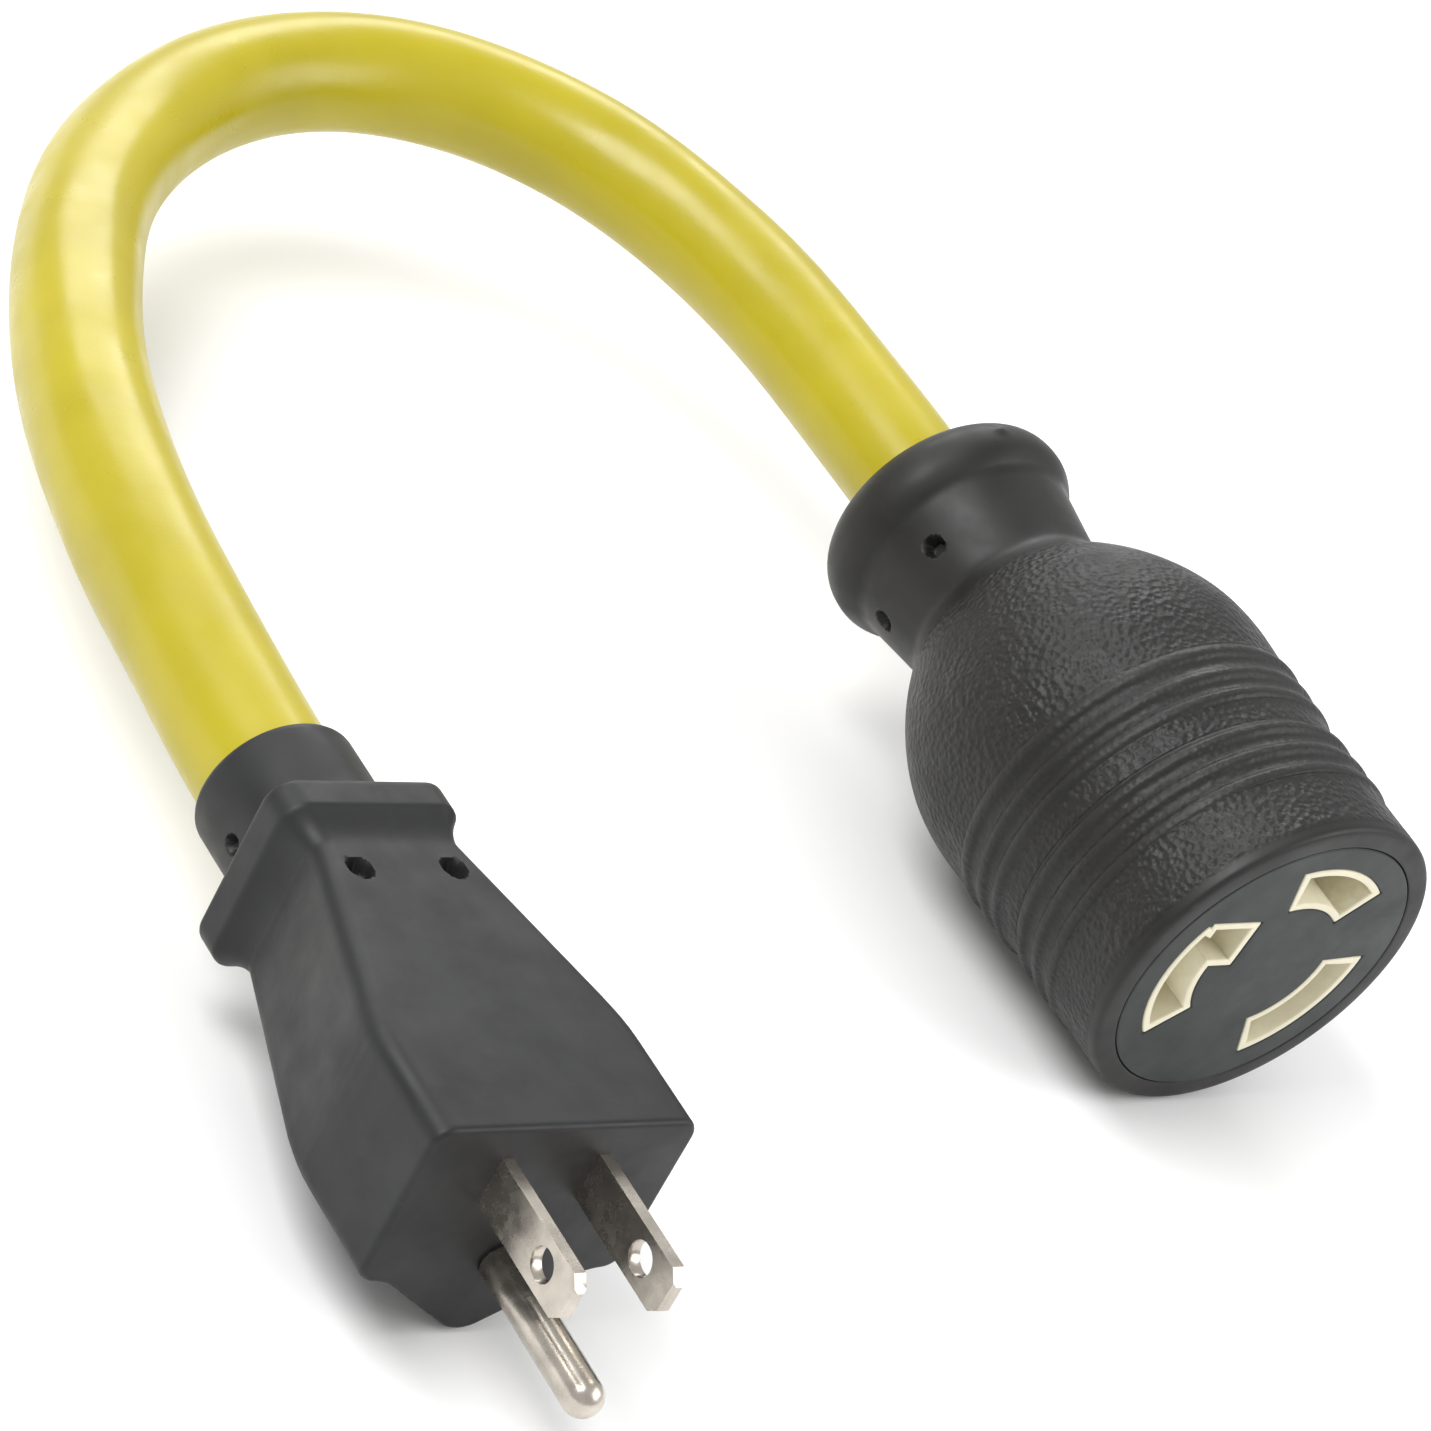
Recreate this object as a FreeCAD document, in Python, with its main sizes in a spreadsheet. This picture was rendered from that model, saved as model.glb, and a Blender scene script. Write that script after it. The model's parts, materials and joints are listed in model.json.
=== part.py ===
import FreeCAD, Part
import math
import os
import Sketcher

# Short adapter cord: a moulded straight-blade plug with a round earth pin, a
# stiff three-core flexible cord and a moulded round twist-lock connector.
#
# Frame of the whole model: +Z up, the cord lies on a table at z = 0, the
# blades point along -Y and the origin is the middle of the footprint.
# Each end is built in its own frame, looking at its front face: x to the
# right, y up, z straight out of the face towards the mating device.
# A depth is a distance behind a face, along that frame's -z.

Vector = FreeCAD.Vector
Rotation = FreeCAD.Rotation
Z_DIRECTION = Vector(0, 0, 1)
doc = FreeCAD.newDocument("shore_power_cord")
sheet = doc.addObject("Spreadsheet::Sheet", "params")

# ------------------------------------------------------------- driving dimensions
# alias, value in millimetres or degrees
CELLS = [
    # where the two ends sit
    ("plug_pos_x", -66.453), ("plug_pos_y", -95.373), ("plug_pos_z", 22.462),
    ("conn_pos_x", 59.567), ("conn_pos_y", -66.933), ("conn_pos_z", 23.892),
    ("conn_yaw", 1.97), ("conn_nose_down", 3.70),
    # blades and earth pin
    ("blade_pitch", 12.7), ("blade_width", 6.35), ("blade_thick", 1.52),
    ("blade_out", 17.7), ("blade_tip_cut", 1.5), ("blade_tip_chamfer", 0.35),
    ("blade_hole_dia", 3.96), ("blade_hole_at", 11.9),
    ("blade_root", 8.5), ("blade_neck", 3.6), ("blade_neck_len", 1.4),
    ("earth_dia", 4.75), ("earth_drop", 11.9), ("earth_out", 21.7),
    ("barrel_out_dia", 4.6), ("barrel_bore_dia", 3.3), ("barrel_len", 9.0),
    ("barrel_gap", 1.0), ("bore_gap", 2.2),
    # plug body
    ("plug_half_w", 17.1), ("plug_top", 7.5), ("plug_bottom", 14.4),
    ("plug_front_len", 16.4), ("plug_waist_at", 44.0), ("plug_waist_half_w", 9.9),
    ("plug_waist_bottom", 12.6), ("plug_edge_r", 2.2), ("plug_shoulder_r", 6.0),
    ("plug_front_edge_r", 0.6), ("waist_round_r", 1.7),
    ("nose_low", 22.5), ("nose_flat_half", 3.6), ("nose_shoulder_half", 13.6),
    ("nose_shoulder_low", 15.3), ("nose_len", 31.0),
    ("flange_front", 48.3), ("flange_thick", 4.2), ("flange_half_w", 11.8),
    ("flange_top", 8.9), ("flange_bottom", 15.0), ("flange_corner_r", 3.4),
    ("flange_rim_r", 0.8), ("collar_end", 64.6), ("collar_dia", 19.6), ("collar_lip_r", 0.9),
    ("tool_hole_dia", 3.0), ("tool_hole_x", 6.2), ("tool_hole_at", 39.6), ("tool_hole_deep", 1.9),
    ("plug_skin", 2.0), ("insert_thick", 6.0), ("inner_end", 38.0),
    ("inner_half_w", 13.6), ("inner_half_w_end", 8.7), ("inner_top", 4.9),
    ("inner_bottom", 17.4), ("inner_bottom_end", 12.0),
    ("inner_corner_high", 3.0), ("inner_corner_wide", 5.0),
    ("plug_mold_end", 18.3), ("seat_gap", 0.05),
    # cord
    ("cord_axis_drop", 3.0), ("jacket_dia", 16.4), ("jacket_bore_dia", 12.4),
    ("jacket_start", 40.0), ("core_dia", 4.7), ("core_bore_dia", 3.3),
    ("copper_dia", 2.9), ("core_lay_r", 2.85),
    ("filler_dia", 2.0), ("filler_lay_r", 4.1),
    ("link_count", 15.0), ("first_pivot", 19.0), ("pivot_step", 17.7),
    ("ball_dia", 16.0), ("socket_dia", 16.2), ("lip_gap", 4.5),
    ("bend_start", 58.0), ("bend_second_pole", 72.89),
    # connector
    ("conn_face_r", 23.2), ("conn_rim_r", 24.0), ("conn_bulge_r", 24.6),
    ("conn_neck_r", 14.0), ("conn_neck_end_r", 15.3), ("conn_lip_r", 17.3),
    ("conn_len", 84.0), ("conn_neck_at", 62.2),
    ("rib_high", 0.45), ("neck_hole_dia", 2.6), ("neck_hole_deep", 2.2), ("neck_hole_at", 68.6),
    ("face_insert_dia", 41.6), ("face_insert_len", 12.0),
    ("slot_out_r", 17.1), ("slot_in_r", 10.3), ("liner_wall", 1.05),
    ("line_from", -66.0), ("line_span", 70.0),
    ("neutral_from", 48.0), ("neutral_span", 58.5),
    ("earth_from", 153.0), ("earth_span", 67.0),
    ("hook_in_x", 6.4), ("hook_low_y", 0.7), ("hook_high_y", 8.2), ("hook_out_x", 14.6),
    ("carrier_dia", 37.4), ("carrier_end", 34.0), ("cover_thick", 3.0),
    ("contact_front", 9.0), ("leaf_thick", 0.8), ("contact_mid_r", 13.7),
    ("crimp_front", 37.6), ("crimp_end", 49.5),
    ("conn_inner_r", 17.6), ("conn_inner_step", 54.0), ("conn_mold_end", 49.4),
    ("conn_inner_end_r", 10.4), ("conn_inner_end", 60.0), ("conn_jacket_end", 61.0),
]

# Control points x, y, z of the cord's centre line from the plug's origin, in the
# directions of the whole model. The two points before these lie on the plug's cord axis.
CORD_POLES = [
    (0.05, 85.68, -2.06), (3.83, 129.64, -2.33), (21.0, 169.58, -0.83),
    (37.78, 189.65, -0.99), (54.38, 201.11, 2.41), (73.0, 205.42, 5.18),
    (92.39, 201.42, 7.79), (110.52, 186.85, 8.73), (121.98, 159.8, 8.75),
    (122.52, 130.13, 8.01), (123.27, 108.23, 6.59),
]
for number, pole in enumerate(CORD_POLES, 1):
    for axis, value in zip("xyz", pole):
        CELLS.append(("cord_%s_%02d" % (axis, number), value))

for row, (name, value) in enumerate(CELLS, 1):
    sheet.set("A%d" % row, name)
    sheet.set("B%d" % row, repr(value))
    sheet.setAlias("B%d" % row, name)
doc.recompute()
dim = {name: float(sheet.get(name)) for name, _ in CELLS}


# ------------------------------------------------------------- expressions of sheet names
def spaced(text):
    """The text cut into names, numbers and signs."""
    for sign in "-+*/":
        text = text.replace(sign, " %s " % sign)
    return text.split()


def num(expression):
    """Value of a number or of a +, -, *, / expression of sheet names."""
    if not isinstance(expression, str):
        return float(expression)
    total = 0.0
    for term in expression.replace(" ", "").replace("-", "+-").split("+"):
        if not term:
            continue
        value = -1.0 if term.startswith("-") else 1.0
        operator = "*"
        for part in spaced(term.lstrip("-")):
            if part in "*/":
                operator = part
                continue
            factor = dim[part] if part in dim else float(part)
            value = value * factor if operator == "*" else value / factor
        total += value
    return total


def cell(expression):
    """The same expression, written for the document."""
    return " ".join("params." + word if word in dim else word for word in spaced(expression))


def plus(expression, amount):
    """The expression with a signed number added."""
    return "%s%+.3f" % (expression, amount)


def minus(expression):
    """The expression with every term's sign turned round."""
    text = str(expression).replace(" ", "")
    if text[0] not in "+-":
        text = "+" + text
    return "".join({"+": "-", "-": "+"}.get(letter, letter) for letter in text)


def rear_z(front, length):
    """z of the rear end of something that starts at depth front."""
    return (minus(front) + minus(length)).lstrip("+")


def bind(obj, prop, expression):
    setattr(obj, prop, num(expression))
    obj.setExpression(prop, cell(expression))


# ------------------------------------------------------------- bodies and sketches
def new_body(name):
    body = doc.addObject("PartDesign::Body", name)
    body.Label = name
    doc.recompute()
    return body


def origin_part(body, role):
    return [part for part in body.Origin.OriginFeatures if part.Role == role][0]


def new_sketch(body, name, plane="XY_Plane", lift=None):
    """lift: offset along the plane's normal, which is +z, +x (YZ) or -y (XZ)."""
    sketch = body.newObject("Sketcher::SketchObject", name)
    sketch.AttachmentSupport = [(origin_part(body, plane), "")]
    sketch.MapMode = "FlatFace"
    if lift is not None:
        sketch.AttachmentOffset = FreeCAD.Placement(Vector(0, 0, num(lift)), Rotation())
        sketch.setExpression("AttachmentOffset.Base.z", cell(lift))
    return sketch


def hold(sketch, kind, geometry, point, expression, label):
    """Bound distance from the sketch origin to a point."""
    index = sketch.addConstraint(
        Sketcher.Constraint(kind, -1, 1, geometry, point, num(expression)))
    sketch.renameConstraint(index, label)
    sketch.setExpression("Constraints." + label, cell(str(expression)))


def hold_point(sketch, geometry, point, x, y, prefix=""):
    """Hold a point at x, y; a zero coordinate puts it on the axis."""
    for expression, kind, axis, tag in ((x, "DistanceX", -2, "x"), (y, "DistanceY", -1, "y")):
        if abs(num(expression)) < 1e-9:
            sketch.addConstraint(Sketcher.Constraint("PointOnObject", geometry, point, axis))
        else:
            label = "%s%s_%d" % (prefix, tag, geometry)
            hold(sketch, kind, geometry, point, expression, label)


def poly(sketch, points):
    """Closed outline whose corners are held by named, bound dimensions."""
    first = sketch.GeometryCount
    count = len(points)
    corners = [Vector(num(x), num(y), 0) for x, y in points]
    for i in range(count):
        sketch.addGeometry(Part.LineSegment(corners[i], corners[(i + 1) % count]))
    for i in range(count):
        sketch.addConstraint(
            Sketcher.Constraint("Coincident", first + i, 2, first + (i + 1) % count, 1))
    for i, (x, y) in enumerate(points):
        hold_point(sketch, first + i, 1, x, y)


def disc(sketch, x, y, diameter):
    circle = Part.Circle(Vector(num(x), num(y), 0), Z_DIRECTION, num(diameter) / 2)
    geometry = sketch.addGeometry(circle)
    label = "dia_%d" % geometry
    index = sketch.addConstraint(Sketcher.Constraint("Diameter", geometry, num(diameter)))
    sketch.renameConstraint(index, label)
    sketch.setExpression("Constraints." + label, cell(diameter))
    hold_point(sketch, geometry, 3, x, y, "c")


# ------------------------------------------------------------- features
def volume(body):
    return 0.0 if body.Shape.isNull() else body.Shape.Volume


def add(body, kind, name, **props):
    """Add a feature; one that leaves the volume as it was has missed its target."""
    before = volume(body)
    feature = body.newObject("PartDesign::" + kind, name)
    for key, value in props.items():
        if isinstance(value, str):
            bind(feature, key, value)
        else:
            setattr(feature, key, value)
    doc.recompute()
    assert abs(volume(body) - before) > 1e-3, name
    return feature


def pad(body, name, sketch, length, back=True):
    """back: the pad runs against the sketch's normal."""
    add(body, "Pad", name, Profile=sketch, Length=length, Reversed=back)


def cut(body, name, sketch, length, back=True):
    """back: the pocket runs against the sketch's normal."""
    add(body, "Pocket", name, Profile=sketch, Length=length, Reversed=not back)


def loft(body, name, first, second, kind="AdditiveLoft"):
    add(body, kind, name, Profile=first, Sections=[second], Ruled=True)


def revolve(body, name, sketch, kind="Revolution"):
    """Full turn about the body's z axis."""
    add(body, kind, name, Profile=sketch,
        ReferenceAxis=(origin_part(body, "Z_Axis"), [""]), Angle=360.0)


def near(value, target, tolerance=0.01):
    return abs(value - target) < tolerance


def pick_edges(body, test):
    """Names of the edges for which test(bounding box, edge) holds."""
    return ["Edge%d" % number for number, edge in enumerate(body.Shape.Edges, 1)
            if test(edge.BoundBox, edge)]


def ease(body, name, radius, test):
    """Round the edges that pass the test."""
    picked = pick_edges(body, test)
    if not picked:
        return
    tip = body.Tip
    # a radius the shape cannot carry is stepped down; if none fits, the edges stay sharp
    for share in (1.0, 0.75, 0.5, 0.3):
        fillet = body.newObject("PartDesign::Fillet", name)
        fillet.Base = (tip, picked)
        bind(fillet, "Radius", "%s*%s" % (radius, share))
        doc.recompute()
        if "Invalid" not in fillet.State and not fillet.Shape.isNull() and fillet.Shape.isValid():
            return
        body.removeObject(fillet)
        doc.removeObject(fillet.Name)
        body.Tip = tip
        doc.recompute()


# ------------------------------------------------------------- plain solids
def prim(kind, name, **props):
    solid = doc.addObject("Part::" + kind, name)
    for key, value in props.items():
        if isinstance(value, str):
            bind(solid, key, value)
        else:
            setattr(solid, key, value)
    doc.recompute()
    return solid


def place(obj, position, rotation=None):
    """Put an object at x, y, z; coordinates given as expressions are bound."""
    base = Vector(*[num(value) for value in position])
    obj.Placement = FreeCAD.Placement(base, rotation or Rotation())
    for axis, expression in zip("xyz", position):
        if isinstance(expression, str):
            obj.setExpression("Placement.Base." + axis, cell(expression))


def subtract(name, base, tool):
    result = doc.addObject("Part::Cut", name)
    result.Base, result.Tool = base, tool
    doc.recompute()
    return result


def join(name, shapes):
    result = doc.addObject("Part::MultiFuse", name)
    result.Shapes = shapes
    doc.recompute()
    return result


# ------------------------------------------------------------- the two ends and the pieces
PLUG = FreeCAD.Placement(
    Vector(dim["plug_pos_x"], dim["plug_pos_y"], dim["plug_pos_z"]),
    Rotation(Vector(1, 0, 0), 90))
CONN = FreeCAD.Placement(
    Vector(dim["conn_pos_x"], dim["conn_pos_y"], dim["conn_pos_z"]),
    Rotation(Z_DIRECTION, dim["conn_yaw"])
    * Rotation(Vector(1, 0, 0), 90 + dim["conn_nose_down"]))
ENDS = {"plug": PLUG, "conn": CONN}
PIECES = {}


def finish(name, obj, end):
    """Register a piece and move it from its end's own frame into the model."""
    obj.Label = name
    place(obj, [end + "_pos_" + axis for axis in "xyz"], ENDS[end].Rotation)
    PIECES[name] = obj


def finish_shape(name, shape):
    """Register a piece that is built directly in the model's frame."""
    piece = doc.addObject("Part::Feature", name)
    piece.Label = name
    piece.Shape = shape
    PIECES[name] = piece


# x, y of each blade or pin in the plug's frame
PLUG_AT = {"line": ("-blade_pitch/2", 0), "neutral": ("blade_pitch/2", 0),
           "ground": (0, "-earth_drop")}
# prefix of the cells that hold each core's slot in the connector
SLOT_CELLS = {"line": "line", "neutral": "neutral", "ground": "earth"}
# middle angle of each slot in the connector's frame
SLOT_MID = {core: dim[prefix + "_from"] + dim[prefix + "_span"] / 2
            for core, prefix in SLOT_CELLS.items()}


# ------------------------------------------------------------- blades and earth pin
def build_blade(core):
    name = core + "_blade"
    x = PLUG_AT[core][0]
    body = new_body(name)
    # flat strip, seen from the side: across y, along z
    outline = new_sketch(body, name + "_outline", "YZ_Plane", x)
    poly(outline, [
        ("blade_width/2", "-blade_root"), ("blade_width/2", "blade_out-blade_tip_cut"),
        ("blade_width/2-blade_tip_cut", "blade_out"),
        ("blade_tip_cut-blade_width/2", "blade_out"),
        ("-blade_width/2", "blade_out-blade_tip_cut"), ("-blade_width/2", "-blade_root"),
        ("-blade_neck/2", "-blade_root-blade_neck_len"),
        ("blade_neck/2", "-blade_root-blade_neck_len")])
    add(body, "Pad", name + "_strip", Profile=outline, Length="blade_thick", Midplane=True)
    hole = new_sketch(body, name + "_hole_ring", "YZ_Plane", x)
    disc(hole, 0, "blade_hole_at", "blade_hole_dia")
    add(body, "Pocket", name + "_hole", Profile=hole, Length=6.0, Midplane=True)
    # crimp barrel behind the strip, open to the rear
    ring = new_sketch(body, name + "_barrel_ring", "XY_Plane", "-blade_root-barrel_gap")
    disc(ring, x, 0, "barrel_out_dia")
    pad(body, name + "_barrel", ring, "barrel_len")
    bore = new_sketch(body, name + "_barrel_bore_ring", "XY_Plane", "-blade_root-bore_gap")
    disc(bore, x, 0, "barrel_bore_dia")
    cut(body, name + "_barrel_bore", bore, "barrel_len")
    tips = pick_edges(
        body, lambda box, edge: box.ZMin > dim["blade_out"] - 0.01 and box.YLength > 2)
    add(body, "Chamfer", name + "_tip_ease", Base=(body.Tip, tips), Size="blade_tip_chamfer")
    finish(name, body, "plug")


def build_ground_pin():
    """Turned pin with a ball tip in front and a crimp barrel behind, on the body's own z."""
    body = new_body("ground_pin")
    profile = new_sketch(body, "ground_pin_profile", "XZ_Plane")
    tip_z, bore_z = "earth_out", "-blade_root-bore_gap"
    bore_radius, tail_z = "barrel_bore_dia/2", "-blade_root-barrel_len-barrel_gap"
    pin_radius = num("earth_dia/2")
    ball_z = num(tip_z) - pin_radius
    corners = [Vector(num(x), num(z), 0) for x, z in (
        (0, tip_z), (0, bore_z), (bore_radius, bore_z), (bore_radius, tail_z),
        (pin_radius, tail_z), (pin_radius, ball_z))]
    for start, end in zip(corners[:-1], corners[1:]):
        profile.addGeometry(Part.LineSegment(start, end))
    ball = Part.Circle(Vector(0, ball_z, 0), Z_DIRECTION, pin_radius)
    profile.addGeometry(Part.ArcOfCircle(ball, 0, math.pi / 2))
    for i in range(6):
        profile.addConstraint(Sketcher.Constraint("Coincident", i, 2, (i + 1) % 6, 1))
    # both ends of the centre line and the ball's centre lie on the axis
    for geometry, point in ((0, 1), (0, 2), (5, 3)):
        profile.addConstraint(Sketcher.Constraint("PointOnObject", geometry, point, -2))
    for geometry, kind in enumerate(("Horizontal", "Vertical", "Horizontal", "Vertical"), 1):
        profile.addConstraint(Sketcher.Constraint(kind, geometry))
    for label, kind, geometry, point, expression in (
            ("tip", "DistanceY", 0, 1, tip_z),
            ("floor_of_bore", "DistanceY", 0, 2, bore_z),
            ("bore_r", "DistanceX", 1, 2, bore_radius),
            ("tail", "DistanceY", 3, 2, tail_z),
            ("pin_r", "DistanceX", 3, 2, "earth_dia/2")):
        hold(profile, kind, geometry, point, expression, label)
    profile.addConstraint(Sketcher.Constraint("Horizontal", 5, 3, 5, 1))
    revolve(body, "ground_pin_turn", profile)
    # the pin is thinner behind the plug's face
    relief = new_sketch(body, "ground_pin_relief_ring", "XZ_Plane")
    inside, outside = "barrel_out_dia/2-0.3", "earth_dia/2+1.0"
    behind_tail = "-blade_root-barrel_len-2.0"
    poly(relief, [(inside, 0.3), (outside, 0.3), (outside, behind_tail), (inside, behind_tail)])
    revolve(body, "ground_pin_relief", relief, "Groove")
    finish("ground_pin", body, "plug")
    place(body, ("plug_pos_x", "plug_pos_y", "plug_pos_z-earth_drop"), PLUG.Rotation)


# ------------------------------------------------------------- plug mouldings
def blade_openings(sketch):
    """Openings for both blades and the earth pin, with the seating gap round them."""
    for core in ("line", "neutral"):
        x = PLUG_AT[core][0]
        left, right = x + "-blade_thick/2-seat_gap", x + "+blade_thick/2+seat_gap"
        low, high = "-blade_width/2-seat_gap", "blade_width/2+seat_gap"
        poly(sketch, [(left, low), (right, low), (right, high), (left, high)])
    disc(sketch, 0, "-earth_drop", "earth_dia+seat_gap*2")


def inner_outline(sketch, half_width, bottom, gap):
    """Section of the plug's inner block: a box with its lower corners cut off."""
    left, right = "-%s-%s" % (half_width, gap), "%s+%s" % (half_width, gap)
    low, top = "-%s-%s" % (bottom, gap), "inner_top+%s" % gap
    corner = "inner_corner_high-%s" % bottom
    poly(sketch, [(left, corner), ("inner_corner_wide-%s" % half_width, low),
                  ("%s-inner_corner_wide" % half_width, low), (right, corner),
                  (right, top), (left, top)])


def add_plug_block(body):
    """Main block of the plug, its sloping underside and the keel round the earth pin."""
    # plan: parallel in front, drawn in to a waist, then the flange zone
    plan = new_sketch(body, "plug_plan", "XZ_Plane", "-plug_top")
    poly(plan, [
        ("-plug_half_w", 0), ("plug_half_w", 0), ("plug_half_w", "-plug_front_len"),
        ("plug_waist_half_w", "-plug_waist_at"), ("plug_waist_half_w", "-flange_front-1.0"),
        ("-plug_waist_half_w", "-flange_front-1.0"), ("-plug_waist_half_w", "-plug_waist_at"),
        ("-plug_half_w", "-plug_front_len")])
    pad(body, "plug_block", plan, "plug_top+plug_bottom", back=False)
    # underside rises towards the waist
    under = new_sketch(body, "plug_under_cut", "YZ_Plane", "-plug_half_w-1.0")
    poly(under, [
        ("-plug_bottom-1.0", "-plug_front_len-4.0"), ("-plug_bottom", "-plug_front_len-4.0"),
        ("-plug_waist_bottom", "-plug_waist_at"), ("-plug_waist_bottom", "-flange_front-1.0"),
        ("-plug_bottom-1.0", "-flange_front-1.0")])
    cut(body, "plug_under", under, "plug_half_w*2+2.0", back=False)
    ease(body, "plug_shoulder_round", "plug_shoulder_r", lambda box, edge:
         box.YLength > 15 and box.XLength < 0.1
         and near(box.Center.z, -dim["plug_front_len"], 1))
    # the keel is deepest at the face
    front = new_sketch(body, "keel_front", "XY_Plane")
    poly(front, [
        ("-nose_shoulder_half", "-plug_bottom+1.0"), ("nose_shoulder_half", "-plug_bottom+1.0"),
        ("nose_shoulder_half", "-nose_shoulder_low"), ("nose_flat_half", "-nose_low"),
        ("-nose_flat_half", "-nose_low"), ("-nose_shoulder_half", "-nose_shoulder_low")])
    rear = new_sketch(body, "keel_back", "XY_Plane", "-nose_len")
    poly(rear, [
        ("-nose_shoulder_half+2.0", "-plug_bottom+2.0"),
        ("nose_shoulder_half-2.0", "-plug_bottom+2.0"),
        ("nose_shoulder_half-2.0", "-plug_bottom+1.2"), ("nose_flat_half", "-plug_bottom+0.9"),
        ("-nose_flat_half", "-plug_bottom+0.9"),
        ("2.0-nose_shoulder_half", "-plug_bottom+1.2")])
    loft(body, "keel", front, rear)


def add_flange_and_collar(body):
    outline = new_sketch(body, "flange_outline", "XY_Plane", "-flange_front")
    poly(outline, [
        ("-flange_half_w", "-flange_bottom"), ("flange_half_w", "-flange_bottom"),
        ("flange_half_w", "flange_top"), ("-flange_half_w", "flange_top")])
    pad(body, "flange", outline, "flange_thick")
    flange_rear = -dim["flange_front"] - dim["flange_thick"]
    ease(body, "flange_corners", "flange_corner_r", lambda box, edge:
         box.ZLength > 3.5 and box.ZMin < flange_rear + 0.1
         and near(abs(box.Center.x), dim["flange_half_w"]))
    ring = new_sketch(body, "collar_ring", "XY_Plane", "-flange_front-flange_thick+0.5")
    disc(ring, 0, "-cord_axis_drop", "collar_dia")
    pad(body, "collar", ring, "collar_end-flange_front-flange_thick+0.5")


def round_plug_edges(body):
    flange_front = -dim["flange_front"]
    flange_rear = flange_front - dim["flange_thick"]
    top = dim["plug_top"]
    # upright edges where the waist meets the flange
    ease(body, "waist_swoop", "waist_round_r", lambda box, edge:
         near(box.Center.z, flange_front) and box.ZLength < 0.01
         and near(abs(box.Center.x), dim["plug_waist_half_w"], 0.05)
         and box.XLength < 0.05 and box.YLength > 5)
    ease(body, "top_edges", "plug_edge_r", lambda box, edge:
         box.YMin > top - 0.01 and box.YMax < top + 0.01 and box.ZMax < 0.01
         and box.ZMin > flange_front + 0.4 and not box.XLength > 25)
    ease(body, "front_edges", "plug_front_edge_r", lambda box, edge:
         box.ZMin > -0.01 and box.ZMax < 0.01)

    def on_rear_rim(box, edge):
        """Outer edges of the flange's rear face, without the collar's circle."""
        reach = max(abs(box.XMin), abs(box.XMax), abs(box.YMin), abs(box.YMax))
        if not (near(box.ZMax, flange_rear) and box.ZLength < 0.01
                and reach > dim["flange_half_w"] - 3.5):
            return False
        return not (edge.Curve.TypeId == "Part::GeomCircle"
                    and near(edge.Curve.Radius, dim["collar_dia"] / 2))

    ease(body, "flange_rim", "flange_rim_r", on_rear_rim)
    ease(body, "collar_lip", "collar_lip_r", lambda box, edge:
         box.ZMax < -dim["collar_end"] + 0.01)


def hollow_plug(body):
    """Mould pin holes, openings in the face, room for the inner parts and the cord."""
    # two blind holes in the top left by the mould pins
    pins = new_sketch(body, "mould_pin_rings", "XZ_Plane", "-plug_top")
    for x in ("tool_hole_x", "-tool_hole_x"):
        disc(pins, x, "-tool_hole_at", "tool_hole_dia")
    cut(body, "mould_pin_holes", pins, "tool_hole_deep", back=False)
    openings = new_sketch(body, "blade_openings", "XY_Plane")
    blade_openings(openings)
    cut(body, "blade_ways", openings, "plug_skin+0.5")
    # hollow for the bridge and the inner moulding, then the way for the cord
    front = new_sketch(body, "hollow_front", "XY_Plane", "-plug_skin")
    rear = new_sketch(body, "hollow_back", "XY_Plane", "-inner_end-seat_gap")
    inner_outline(front, "inner_half_w", "inner_bottom", "seat_gap")
    inner_outline(rear, "inner_half_w_end", "inner_bottom_end", "seat_gap")
    loft(body, "hollow", front, rear, "SubtractiveLoft")
    way = new_sketch(body, "cord_way_ring", "XY_Plane", "-inner_end+1.0")
    disc(way, 0, "-cord_axis_drop", "jacket_dia+seat_gap*2")
    cut(body, "cord_way", way, "collar_end-inner_end+4.0")


def build_plug_overmold():
    body = new_body("plug_overmold")
    add_plug_block(body)
    add_flange_and_collar(body)
    round_plug_edges(body)
    hollow_plug(body)
    finish("plug_overmold", body, "plug")


def inner_block(name, front, rear, tag):
    """Slice of the inner block between two depths, tapering as the hollow does."""
    body = new_body(name)
    sections = []
    for label, depth in (("a", front), ("b", rear)):
        share = (num(depth) - dim["plug_skin"]) / (dim["inner_end"] - dim["plug_skin"])
        half_width, bottom = [
            dim[key] + (dim[key + "_end"] - dim[key]) * share
            for key in ("inner_half_w", "inner_bottom")]
        section = new_sketch(body, "%s_section_%s" % (tag, label), "XY_Plane", minus(depth))
        inner_outline(section, repr(half_width), repr(bottom), "0.0")
        sections.append(section)
    loft(body, tag + "_block", *sections)
    return body


def build_blade_bridge():
    body = inner_block(
        "blade_bridge", "plug_skin+seat_gap", "plug_skin+insert_thick", "bridge")
    openings = new_sketch(body, "bridge_openings", "XY_Plane")
    blade_openings(openings)
    cut(body, "bridge_ways", openings, 12.0)
    finish("blade_bridge", body, "plug")


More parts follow.
